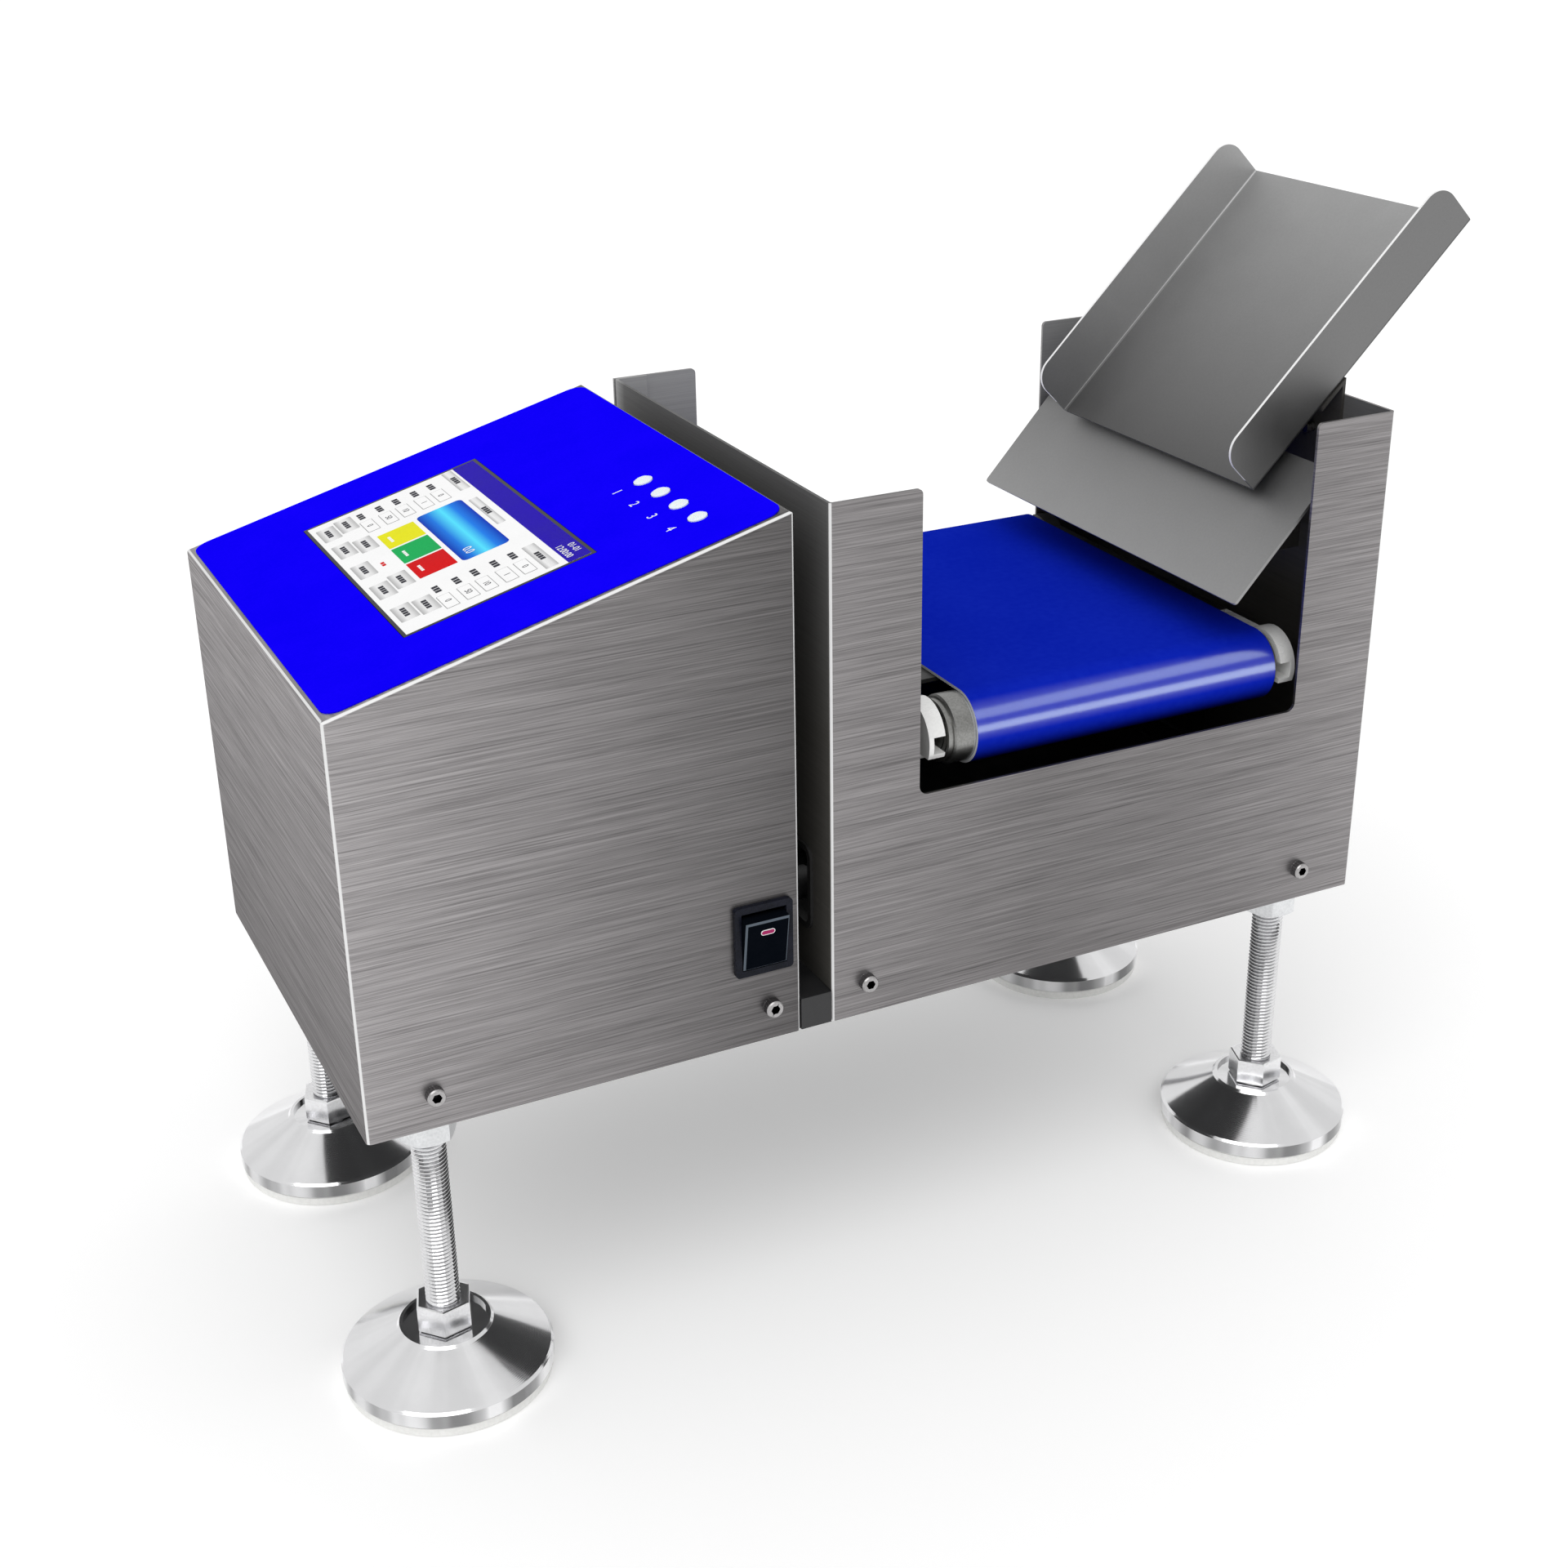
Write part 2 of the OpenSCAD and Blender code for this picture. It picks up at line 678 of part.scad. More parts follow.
module rocker_paddle() color(black) machine() paddle_place() difference() {
    union() {
        intersection() {
            translate([-paddle_w / 2, 0, 0]) along_x(paddle_w) paddle_shape();
            translate([0, 0, -paddle_open]) linear_extrude(2 * paddle_open) paddle_plan();
        }
        translate([-paddle_w / 2 - pivot_l, 0, 0]) rotate([0, 90, 0])
            cylinder(d = pivot_d, h = paddle_w + 2 * pivot_l);
    }
    on_paddle_face() translate([0, 0, -lens_sink]) linear_extrude(lens_sink + cut) pill(lens_w, lens_h);
}

module rocker_lens() color([0.85, 0.05, 0.25]) machine() paddle_place() on_paddle_face()
    translate([0, 0, -lens_sink]) linear_extrude(lens_sink + lens_proud) pill(lens_w, lens_h);

module power_inlet() color(black) machine() translate([inlet_x, machine_d, inlet_z]) difference() {
    flange_w = 48;
    flange_z = 27;
    flange_t = 3;
    cavity_w = 24;
    cavity_z = 16;
    cavity_d = 16;
    body_d = 24;
    pin_pitch = 7;
    ear = 20;
    union() {
        difference() {
            union() {
                translate([-flange_w / 2, 0, -flange_z / 2]) along_y(flange_t)
                    round_rect(flange_w, flange_z, 4);
                translate([-inlet_body_w / 2, -body_d, -inlet_body_h / 2])
                    cube([inlet_body_w, body_d, inlet_body_h]);
            }
            translate([-cavity_w / 2, flange_t - cavity_d, -cavity_z / 2]) along_y(cavity_d + cut)
                round_rect(cavity_w, cavity_z, 2);
        }
        for (i = [-1:1]) translate([i * pin_pitch - 1, flange_t - cavity_d - 1, (i == 0 ? 2 : -2) - 2])
            cube([2, cavity_d - 2, 4]);
    }
    for (side = [-1, 1]) translate([side * ear, -cut, 0]) rotate([-90, 0, 0])
        cylinder(d = 3.4, h = flange_t + 2 * cut);
}

supply_l = 129;
supply_w = 97;
supply_h = 30;
supply_x = 56;
supply_y = machine_d - sheet_t - supply_w - 18;

// Enclosed supply: vented lid, open terminal end
module power_supply() color(alu) machine() translate([supply_x, supply_y, tray_t]) {
    skin = 1.5;
    terminal_l = 18;
    strip_h = 14;
    difference() {
        cube([supply_l, supply_w, supply_h]);
        translate([supply_l - terminal_l, skin, skin]) cube([terminal_l + cut, supply_w - 2 * skin, supply_h]);
        for (i = [0:6], j = [0:4]) translate([14 + i * 14, 16 + j * 16, supply_h - skin])
            cylinder(d = 8, h = skin + cut);
    }
    translate([supply_l - terminal_l, 3 * skin, skin]) difference() {
        cube([terminal_l - 2 * skin, supply_w - 6 * skin, strip_h]);
        for (i = [0:6]) translate([4, 3 + i * 12, 3]) cube([terminal_l, 8, strip_h]);
    }
}

board_x = 48;
board_y = 34;
board_l = 112;
board_w = 74;

// Board on four posts, with a processor, a relay, three capacitors and a terminal strip
module controller_board() color(board_green) machine() translate([board_x, board_y, tray_t]) {
    post_h = 8;
    post_d = 5;
    board_t = 1.6;
    edge = 4;
    chip = [22, 22, 2.5];
    relay = [16, 30, 8];
    can_d = 10;
    can_h = 14;
    strip = [56, 9, 10];
    for (x = [edge, board_l - edge], y = [edge, board_w - edge]) translate([x, y, 0])
        cylinder(d = post_d, h = post_h);
    translate([0, 0, post_h]) cube([board_l, board_w, board_t]);
    translate([0, 0, post_h + board_t]) {
        translate([(board_l - chip[0]) / 2, (board_w - chip[1]) / 2, 0]) cube(chip);
        translate([board_l - 2 * relay[0], relay[0], 0]) cube(relay);
        for (i = [1:3]) translate([1.4 * can_d * i, board_w - 1.4 * can_d, 0]) cylinder(d = can_d, h = can_h);
        translate([strip[2], 1.5 * edge, 0]) cube(strip);
    }
}

driver_x = 168;
driver_y = 40;
driver_l = 26;
driver_w = 72;
driver_h = 30;

// Finned driver module
module motor_driver() color(black) machine() translate([driver_x, driver_y, tray_t]) difference() {
    fin_count = 7;
    fin_pitch = driver_w / fin_count;
    cube([driver_l, driver_w, driver_h]);
    for (i = [1:fin_count - 1]) translate([-cut, (i - 0.25) * fin_pitch, 2 * driver_h / 3])
        cube([driver_l + 2 * cut, fin_pitch / 2, driver_h]);
}

trim_t = 1.5;
trim_lip = 4;
conduit_d = 16;
conduit_over = 14;

// Rubber edging of the two cable openings
module port_trim(x) {
    translate([x, port_y, port_z]) difference() {
        translate([-trim_t, -trim_t, -trim_t]) along_x(sheet_t + 2 * trim_t)
            round_rect(port_w + 2 * trim_t, port_h + 2 * trim_t, 5 + trim_t);
        translate([-trim_t - cut, trim_t, trim_t]) along_x(sheet_t + 2 * trim_t + 2 * cut)
            round_rect(port_w - 2 * trim_t, port_h - 2 * trim_t, 5 - trim_t);
        difference() {
            translate([0, -2 * trim_t, -2 * trim_t]) cube([sheet_t, port_w + 4 * trim_t, port_h + 4 * trim_t]);
            translate([-cut, 0, 0]) along_x(sheet_t + 2 * cut) round_rect(port_w, port_h, 5);
        }
    }
}

module port_trims() color(black) machine() {
    port_trim(box_l - sheet_t);
    port_trim(guard_x);
}

// Ribbed tube for the wiring, lying in both openings
module cable_conduit() color(dark) machine()
    translate([box_l - sheet_t - conduit_over, port_y + 0.68 * port_w, port_z + trim_t + conduit_d / 2])
        rotate([0, 90, 0]) difference() {
            tube_l = box_gap + 2 * sheet_t + 2 * conduit_over;
            rib = 4;
            cylinder(d = conduit_d, h = tube_l);
            translate([0, 0, -cut]) cylinder(d = conduit_d - 5, h = tube_l + 2 * cut);
            for (s = [rib:rib:conduit_over - 2 * rib], at = [s, tube_l - s]) translate([0, 0, at - rib / 4])
                difference() {
                    cylinder(d = conduit_d + cut, h = rib / 2);
                    translate([0, 0, -cut]) cylinder(d = conduit_d - 2, h = rib / 2 + 2 * cut);
                }
        }

// Guard

cutout_w = guard_l - 2 * post_w;

// Opening of a guard panel, drawn in x and z with rounded lower corners and post tops
module cutout_shape() {
    translate([post_w, sill_h]) {
        translate([sill_r, 0]) square([cutout_w - 2 * sill_r, guard_h]);
        translate([0, sill_r]) square([cutout_w, guard_h]);
        for (x = [sill_r, cutout_w - sill_r]) translate([x, sill_r]) circle(sill_r);
    }
    for (side = [0, 1]) translate([side == 0 ? post_w : guard_l - post_w, guard_h])
        mirror([side, 0]) translate([-post_r, -post_r]) difference() {
            square(post_r + cut);
            circle(post_r);
        }
}

shell_d = machine_d - sheet_t;

module guard_shell() color(steel) machine() translate([guard_x, 0, 0]) difference() {
    linear_extrude(guard_h) difference() {
        round_rect(guard_l, shell_d, bend_r);
        translate([sheet_t, sheet_t]) round_rect(guard_l - 2 * sheet_t, shell_d - 2 * sheet_t, inner_r);
        translate([sheet_t + rear_flange, shell_d / 2])
            square([guard_l - 2 * sheet_t - 2 * rear_flange, machine_d]);
    }
    translate([0, -cut, 0]) along_y(sheet_t + 2 * cut) cutout_shape();
    translate([-guard_x, 0, 0]) {
        for (i = [2, 3]) translate([screw_xs[i], -cut, screw_z]) rotate([-90, 0, 0])
            cylinder(d = screw_d + 2 * cover_fit, h = machine_d + 2 * cut);
        port_cut(guard_x);
    }
    translate([-cut, sheet_t, -cut])
        cube([sheet_t + 2 * cut, machine_d - 2 * sheet_t, bridge_h + cover_fit + cut]);
    translate([sheet_t, machine_d - 2 * tray_in - tray_t, -cut])
        cube([guard_l - 2 * sheet_t, machine_d, flange_h + 2 * cut]);
    for (x = [rear_screw_x, guard_l - rear_screw_x], z = rear_screw_zs)
        translate([x, machine_d, z]) rotate([90, 0, 0])
            cylinder(d = rear_screw_d + 2 * running_fit, h = 4 * sheet_t);
    for (z = chute_screw_zs, y = chute_screw_ys) translate([guard_l, y, z]) rotate([0, -90, 0])
        cylinder(d = chute_screw_d + 2 * cover_fit, h = 4 * sheet_t);
    for (y = gusset_ys, z = gusset_screw_zs) translate([guard_l, y + gusset_flange / 2, z]) rotate([0, -90, 0])
        cylinder(d = chute_screw_d + 2 * cover_fit, h = 4 * sheet_t);
}

module guard_back() color(steel) machine() translate([guard_x, machine_d - sheet_t, 0]) difference() {
    along_y(sheet_t) square([guard_l, guard_h]);
    translate([0, -cut, 0]) along_y(sheet_t + 2 * cut) cutout_shape();
    for (x = [rear_screw_x, guard_l - rear_screw_x], z = rear_screw_zs)
        translate([x, -cut, z]) rotate([-90, 0, 0])
            cylinder(d = rear_screw_d + 2 * cover_fit, h = sheet_t + 2 * cut);
    for (i = [2, 3]) translate([screw_xs[i] - guard_x, -cut, screw_z]) rotate([-90, 0, 0])
        cylinder(d = screw_d + 2 * cover_fit, h = sheet_t + 2 * cut);
}

// Load cell and weigh bracket

spacer_l = 30;

module load_cell() color(alu) machine() translate([cell_x, cell_y, cell_z]) difference() {
    hole_d = 0.64 * cell_h;
    web = 0.5 * hole_d;
    cube([cell_l, cell_w, cell_h]);
    for (side = [-1, 1]) translate([cell_l / 2 + side * 1.1 * hole_d, -cut, cell_h / 2]) rotate([-90, 0, 0])
        cylinder(d = hole_d, h = cell_w + 2 * cut);
    translate([cell_l / 2 - 1.1 * hole_d, -cut, cell_h / 2 - web / 4])
        cube([2.2 * hole_d, cell_w + 2 * cut, web / 2]);
}

module cell_spacers() color(zinc) machine() translate([cell_x, cell_y, 0]) {
    translate([0, 0, tray_t]) cube([spacer_l, cell_w, cell_gap]);
    translate([cell_l - spacer_l, 0, cell_z + cell_h]) cube([spacer_l, cell_w, cell_gap]);
}

bracket_out_l = left_out - bracket_t;
bracket_out_r = right_out + bracket_t;
bracket_top = axle_z + plate_h / 2 - 2;

// Bent carrier: its floor on the load cell, its sides on the conveyor's side plates
module weigh_bracket() color(steel) machine() translate([0, bracket_y0, 0]) difference() {
    bracket_d = bracket_y1 - bracket_y0;
    window_z = bracket_z + 16;
    union() {
        along_y(bracket_d) round_poly([[bracket_out_l, bracket_z], [bracket_out_r, bracket_z],
            [bracket_out_r, bracket_top], [bracket_out_l, bracket_top]], [4, 4, 0, 0]);
    }
    translate([0, -cut, 0]) along_y(bracket_d + 2 * cut) round_poly([[left_out, bracket_z + bracket_t],
        [right_out, bracket_z + bracket_t], [right_out, guard_h], [left_out, guard_h]], [1, 1, 0, 0]);
    translate([bracket_out_l - cut, 16, window_z]) along_x(bracket_out_r - bracket_out_l + 2 * cut)
        round_rect(bracket_d - 32, plate_z - window_z - 10, 6);
    for (y = bracket_screw_ys) translate([bracket_out_l - cut, y - bracket_y0, axle_z]) rotate([0, 90, 0])
        cylinder(d = plate_screw_d + 2 * cover_fit, h = bracket_out_r - bracket_out_l + 2 * cut);
}

stop_gap = 0.5;
stop_d = 8;
stop_in = 13;
stop_xs = [left_out + stop_in, right_out - stop_in];
stop_ys = [bracket_y0 + stop_in, bracket_y1 - stop_in];

// Screws with a nut on the tray, just short of the weigh bracket
module overload_stops() color(zinc) machine() for (x = stop_xs, y = stop_ys) translate([x, y, tray_t]) {
    cylinder(d = stop_d, h = bracket_z - stop_gap - tray_t);
    hex_prism(1.625 * stop_d, 0.8 * stop_d);
}

// Weigh conveyor

plate_screw_d = 4;
bracket_screw_ys = [bracket_y0 + 14, bracket_y1 - 14];
lap_screw_ys = [plate_front + lap_l / 2, plate_rear - lap_l / 2];
lap_t = holder_t / 2;

// Side plate with a half lap at each end, the lap on the side of the belt
module side_plate(inner, outward) {
    translate([outward > 0 ? inner : inner - holder_t, 0, 0]) difference() {
        translate([0, plate_front, plate_z]) cube([holder_t, plate_rear - plate_front, plate_h]);
        lap_x = outward > 0 ? lap_t : -cut;
        for (y = [plate_front - cut, plate_rear - lap_l]) translate([lap_x, y, plate_z - cut])
            cube([lap_t + cut, lap_l + cut, plate_h + 2 * cut]);
        for (y = concat(bracket_screw_ys, lap_screw_ys)) translate([-cut, y, axle_z]) rotate([0, 90, 0])
            cylinder(d = plate_screw_d + 2 * running_fit, h = holder_t + 2 * cut);
    }
}

module side_plate_left() color(black) machine() side_plate(left_in, -1);
module side_plate_right() color(black) machine() side_plate(right_in, 1);

bed_t = 2;
bed_drop = 17;
bed_top = belt_top - belt_t - 0.2;

module slider_bed() color(steel) machine() difference() {
    translate([0, plate_front, 0]) along_y(plate_rear - plate_front) difference() {
        round_poly([[left_in, bed_top - bed_drop], [right_in, bed_top - bed_drop], [right_in, bed_top],
            [left_in, bed_top]], [0, 0, 2.5, 2.5]);
        translate([left_in + bed_t, bed_top - bed_drop - cut])
            square([right_in - left_in - 2 * bed_t, bed_drop + cut - bed_t]);
    }
    for (y = concat(bracket_screw_ys, lap_screw_ys)) translate([left_in - cut, y, axle_z]) rotate([0, 90, 0])
        cylinder(d = plate_screw_d + 2 * cover_fit, h = right_in - left_in + 2 * cut);
}

tie_d = 9;
tie_z = plate_z + tie_d / 2 + 0.5;

module cross_ties() color(zinc) machine() for (y = [bracket_y0 - 6, bracket_y1 + 6])
    translate([left_in, y, tie_z]) rotate([0, 90, 0]) cylinder(d = tie_d, h = right_in - left_in);

// Loop around both rollers, drawn in y and z
module loop_shape(r) {
    for (y = [drum_y, tail_y]) translate([y, axle_z]) circle(r);
    translate([drum_y, axle_z - r]) square([tail_y - drum_y, 2 * r]);
}

module belt() color(belt_blue) machine() translate([belt_x, 0, 0]) along_x(belt_w) difference() {
    loop_shape(belt_r);
    loop_shape(belt_r - belt_t);
}

module axis_x(x, y) {
    translate([x, y, axle_z]) rotate([0, 90, 0]) children();
}

module drum_shell() color(alu) machine() axis_x(roller_x, drum_y) difference() {
    cylinder(d = roller_d, h = roller_l);
    translate([0, 0, -cut]) cylinder(d = roller_d - 2 * roller_wall, h = roller_l + 2 * cut);
}

plug_l = 8;
end_rim = 2.5;

// End of the drum: a band outside with a stepped rim, a plug in the tube, a bore on the shaft
module drum_end(band, rim) {
    groove = 0.8;
    plug_d = roller_d - 2 * roller_wall;
    end_r = roller_d / 2;
    step = band - rim;
    difference() {
        union() {
            rotate_extrude() polygon([[0, -plug_l], [plug_d / 2, -plug_l], [plug_d / 2, 0], [end_r, 0],
                [end_r, step - groove], [end_r - groove, step], [0, step]]);
            if (rim > 0) translate([0, 0, step - groove]) cylinder(r = end_r - 2 * groove, h = rim + groove);
        }
        translate([0, 0, -plug_l - cut]) cylinder(d = shaft_d + 2 * running_fit, h = plug_l + band + 2 * cut);
        for (d = [0.62, 0.8]) translate([0, 0, band - groove]) difference() {
            cylinder(d = d * roller_d, h = cut);
            translate([0, 0, -cut]) cylinder(d = d * roller_d - 2 * groove, h = 3 * cut);
        }
    }
}

module drum_ends() color(alu) machine() {
    translate([roller_x, drum_y, axle_z]) rotate([0, -90, 0]) drum_end(drum_band - roller_over, end_rim);
    axis_x(roller_x + roller_l, drum_y) drum_end(roller_gap / 2, 0);
}

slot_web = 2.5;
shaft_in = slot_web + cover_fit;

// Shaft with flats where the holders grip it
module flatted_shaft(y) {
    shaft_l = right_out - left_out - 2 * shaft_in;
    flat_l = holder_t - shaft_in;
    axis_x(left_out + shaft_in, y) difference() {
        cylinder(d = shaft_d, h = shaft_l);
        for (z = [-cut, shaft_l - flat_l], side = [0, 1]) rotate([0, 0, 180 * side])
            translate([shaft_flat / 2, -shaft_d, z]) cube([shaft_d, 2 * shaft_d, flat_l + cut]);
    }
}

module drum_shaft() color(zinc) machine() flatted_shaft(drum_y);

module drum_motor() color(dark) machine() axis_x(roller_x + 2 * plug_l, drum_y) difference() {
    motor_l = roller_l - 4 * plug_l;
    cylinder(d = roller_d - 2 * roller_wall - 2, h = motor_l);
    translate([0, 0, -cut]) cylinder(d = shaft_d, h = motor_l + 2 * cut);
}

holder_r = roller_d / 2 + 0.6;
slot_fit = 0.1;
slot_lip = 2.4;

// Roller holder about its axis, drawn in y and z: a round nose over a short lower lip
module holder_shape(nose) {
    lip_z = -shaft_flat / 2 - slot_fit - slot_lip;
    intersection() {
        circle(holder_r);
        translate([-nose, lip_z]) square([nose + holder_r, holder_r - lip_z]);
    }
    translate([0, -plate_h / 2]) square([holder_back, plate_h]);
}

// Holder with a shaft slot on the belt side and a half-lap tongue on the other
module holder(inner, outward, y, facing, nose) {
    translate([outward > 0 ? inner : inner - holder_t, y, axle_z]) mirror([0, facing, 0]) difference() {
        union() {
            along_x(holder_t) holder_shape(nose);
            translate([outward > 0 ? lap_t : 0, holder_back, -plate_h / 2]) cube([lap_t, lap_l, plate_h]);
        }
        translate([outward > 0 ? -cut : slot_web, -2 * holder_r, -shaft_flat / 2 - slot_fit])
            cube([holder_t - slot_web + cut, 2 * holder_r + shaft_d / 2 + slot_fit, shaft_flat + 2 * slot_fit]);
        translate([-cut, holder_back + lap_l / 2, 0]) rotate([0, 90, 0])
            cylinder(d = plate_screw_d + 2 * cover_fit, h = holder_t + 2 * cut);
        if (facing == 1) translate([holder_t / 2, 0, 0]) rotate([-90, 0, 0])
            cylinder(d = plate_screw_d + 2 * running_fit, h = holder_back + cut);
    }
}

module drum_holders() color(chrome) machine() {
    holder(left_in, -1, drum_y, 0, holder_r);
    holder(right_in, 1, drum_y, 0, holder_r);
}

tail_nose = machine_d - sheet_t - 1 - tail_y;

module tail_holders() color(chrome) machine() {
    holder(left_in, -1, tail_y, 1, tail_nose);
    holder(right_in, 1, tail_y, 1, tail_nose);
}

module idler_tube() color(alu) machine() axis_x(roller_x, tail_y) difference() {
    cylinder(d = roller_d, h = roller_l);
    translate([0, 0, -cut]) cylinder(d = roller_d - 2 * roller_wall, h = roller_l + 2 * cut);
}

module idler_bearings() color(chrome) machine() {
    bearing_w = 8;
    for (x = [roller_x + 1, roller_x + roller_l - bearing_w - 1]) axis_x(x, tail_y) difference() {
        cylinder(d = roller_d - 2 * roller_wall, h = bearing_w);
        translate([0, 0, -cut]) cylinder(d = shaft_d + 2 * running_fit, h = bearing_w + 2 * cut);
        for (z = [-cut, bearing_w - 0.6]) translate([0, 0, z]) difference() {
            cylinder(d = 0.75 * roller_d, h = cut + 0.6);
            translate([0, 0, -cut]) cylinder(d = 0.5 * roller_d, h = 4 * cut);
        }
    }
}

module idler_shaft() color(zinc) machine() flatted_shaft(tail_y);

// Screws of the side plates, and the two belt-tension screws
module conveyor_screws() color(chrome) machine() {
    long_shank = bracket_t + holder_t;
    for (y = bracket_screw_ys) {
        translate([bracket_out_l, y, axle_z]) rotate([0, -90, 0]) socket_screw(plate_screw_d, long_shank);
        translate([bracket_out_r, y, axle_z]) rotate([0, 90, 0]) socket_screw(plate_screw_d, long_shank);
    }
    for (y = lap_screw_ys) {
        translate([left_out, y, axle_z]) rotate([0, -90, 0]) socket_screw(plate_screw_d, holder_t);
        translate([right_out, y, axle_z]) rotate([0, 90, 0]) socket_screw(plate_screw_d, holder_t);
    }
    screw_end = shaft_d / 2 + slot_fit;
    for (x = [left_out, right_in]) translate([x + holder_t / 2, tail_y - screw_end, axle_z]) rotate([90, 0, 0])
        cylinder(d = plate_screw_d, h = holder_back - screw_end - 0.5);
}

// Chute

chute_screw_d = 5;
chute_screw_in = 20;
gusset_low = deflector_z;
bracket_low = gusset_low + 14;
bracket_lap = guard_h - bracket_low;
chute_screw_zs = [bracket_low + 2 * bracket_lap / 7, bracket_low + 5 * bracket_lap / 7];
chute_screw_ys = [chute_y + chute_screw_in, chute_y + chute_w - chute_screw_in];

module chute_place() {
    translate([chute_x, chute_y, chute_z]) rotate([0, -chute_slope, 0]) children();
}

// Flange outline along the channel, its two free corners rounded
module flange_shape() {
    round_poly([[0, -sheet_t], [chute_len, -sheet_t], [chute_len, chute_flange], [0, chute_flange]],
        [0, 0, chute_r, chute_r]);
}

module chute_channel() color(steel) machine() chute_place() intersection() {
    translate([-cut, 0, 0]) along_x(chute_len + 2 * cut) difference() {
        round_poly([[0, -sheet_t], [chute_w, -sheet_t], [chute_w, chute_flange], [0, chute_flange]],
            [bend_r, bend_r, 0, 0]);
        round_poly([[sheet_t, 0], [chute_w - sheet_t, 0], [chute_w - sheet_t, chute_flange + cut],
            [sheet_t, chute_flange + cut]], [inner_r, inner_r, 0, 0]);
    }
    along_y(chute_w) flange_shape();
}

// Height of the channel's underside over a place along the machine
function chute_under(x) = chute_z + (x - chute_x) * tan(chute_slope) - sheet_t / cos(chute_slope);

tab_l = 16;

// Upright plate inside the right wall, its top tab bent under the channel
module chute_bracket() color(steel) machine() translate([0, chute_y, 0]) difference() {
    x0 = wall_x - sheet_t;
    tab_x = x0 - tab_l * cos(chute_slope);
    thick = sheet_t / cos(chute_slope);
    along_y(chute_w) polygon([[x0, bracket_low], [wall_x, bracket_low], [wall_x, chute_under(wall_x)],
        [tab_x, chute_under(tab_x)], [tab_x, chute_under(tab_x) - thick], [x0, chute_under(x0) - thick]]);
    for (z = chute_screw_zs, y = chute_screw_ys) translate([wall_x + cut, y - chute_y, z]) rotate([0, -90, 0])
        cylinder(d = chute_screw_d + 2 * running_fit, h = sheet_t + 2 * cut);
}

deflector_w = machine_d - 2 * sheet_t - 2 * deflector_side;
deflector_y = sheet_t + deflector_side;

module deflector_plate() color(steel) machine() translate([deflector_x, deflector_y, deflector_z])
    rotate([0, -deflector_slope, 0]) translate([0, 0, -sheet_t]) linear_extrude(sheet_t)
        round_rect(deflector_len, deflector_w, 2);

// Height of the deflector's underside over a place along the machine
function deflector_under(x) =
    deflector_z + (x - deflector_x) * tan(deflector_slope) - sheet_t / cos(deflector_slope);

gusset_t = 3;
gusset_flange = 18;
gusset_ys = [machine_d / 4, 3 * machine_d / 4 - gusset_flange];
gusset_screw_zs = [gusset_low + 6];
gusset_lead = 12;
gusset_trail = 6;

// Flat web along the deflector's underside, with a flange on the wall below the chute bracket
module deflector_gussets() color(steel) machine() for (y = gusset_ys) translate([0, y, 0]) {
    xa = deflector_x + gusset_lead;
    xb = deflector_x + deflector_len * cos(deflector_slope) - gusset_trail;
    flange_top = bracket_low - 1;
    along_y(gusset_t) polygon([[xa, deflector_under(xa)], [xb, deflector_under(xb)],
        [wall_x - gusset_t, flange_top], [wall_x, flange_top], [wall_x, gusset_low], [xb, gusset_low]]);
    difference() {
        translate([wall_x - gusset_t, 0, gusset_low]) cube([gusset_t, gusset_flange, flange_top - gusset_low]);
        for (z = gusset_screw_zs) translate([wall_x - 2 * gusset_t, gusset_flange / 2, z]) rotate([0, 90, 0])
            cylinder(d = chute_screw_d + 2 * running_fit, h = 4 * gusset_t);
    }
}

// Screws of the chute bracket and the gussets, through the right wall
module chute_screws() color(chrome) machine() {
    for (z = chute_screw_zs, y = chute_screw_ys) translate([guard_r, y, z]) rotate([0, 90, 0])
        socket_screw(chute_screw_d, 2 * sheet_t + 5);
    for (y = gusset_ys, z = gusset_screw_zs) translate([guard_r, y + gusset_flange / 2, z]) rotate([0, 90, 0])
        socket_screw(chute_screw_d, sheet_t + gusset_t + 3);
}

base_tray();
stud_bosses();
lock_nuts();
gap_bridge();
cover_screws();
stud_front_left();
stud_front_right();
stud_rear_left();
stud_rear_right();
foot_front_left();
foot_front_right();
foot_rear_left();
foot_rear_right();
sole_front_left();
sole_front_right();
sole_rear_left();
sole_rear_right();
control_housing();
panel_film();
touch_screen();
screen_case();
screen_clamps();
lamp_lenses();
lamp_board();
rocker_frame();
rocker_paddle();
rocker_lens();
power_inlet();
power_supply();
controller_board();
motor_driver();
cable_conduit();
guard_shell();
guard_back();
port_trims();
load_cell();
cell_spacers();
weigh_bracket();
overload_stops();
side_plate_left();
side_plate_right();
slider_bed();
cross_ties();
belt();
drum_shell();
drum_ends();
drum_shaft();
drum_motor();
drum_holders();
idler_tube();
idler_bearings();
idler_shaft();
tail_holders();
conveyor_screws();
chute_channel();
chute_bracket();
deflector_plate();
deflector_gussets();
chute_screws();
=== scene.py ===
import math

import bmesh
import bpy
from mathutils import Matrix, Vector


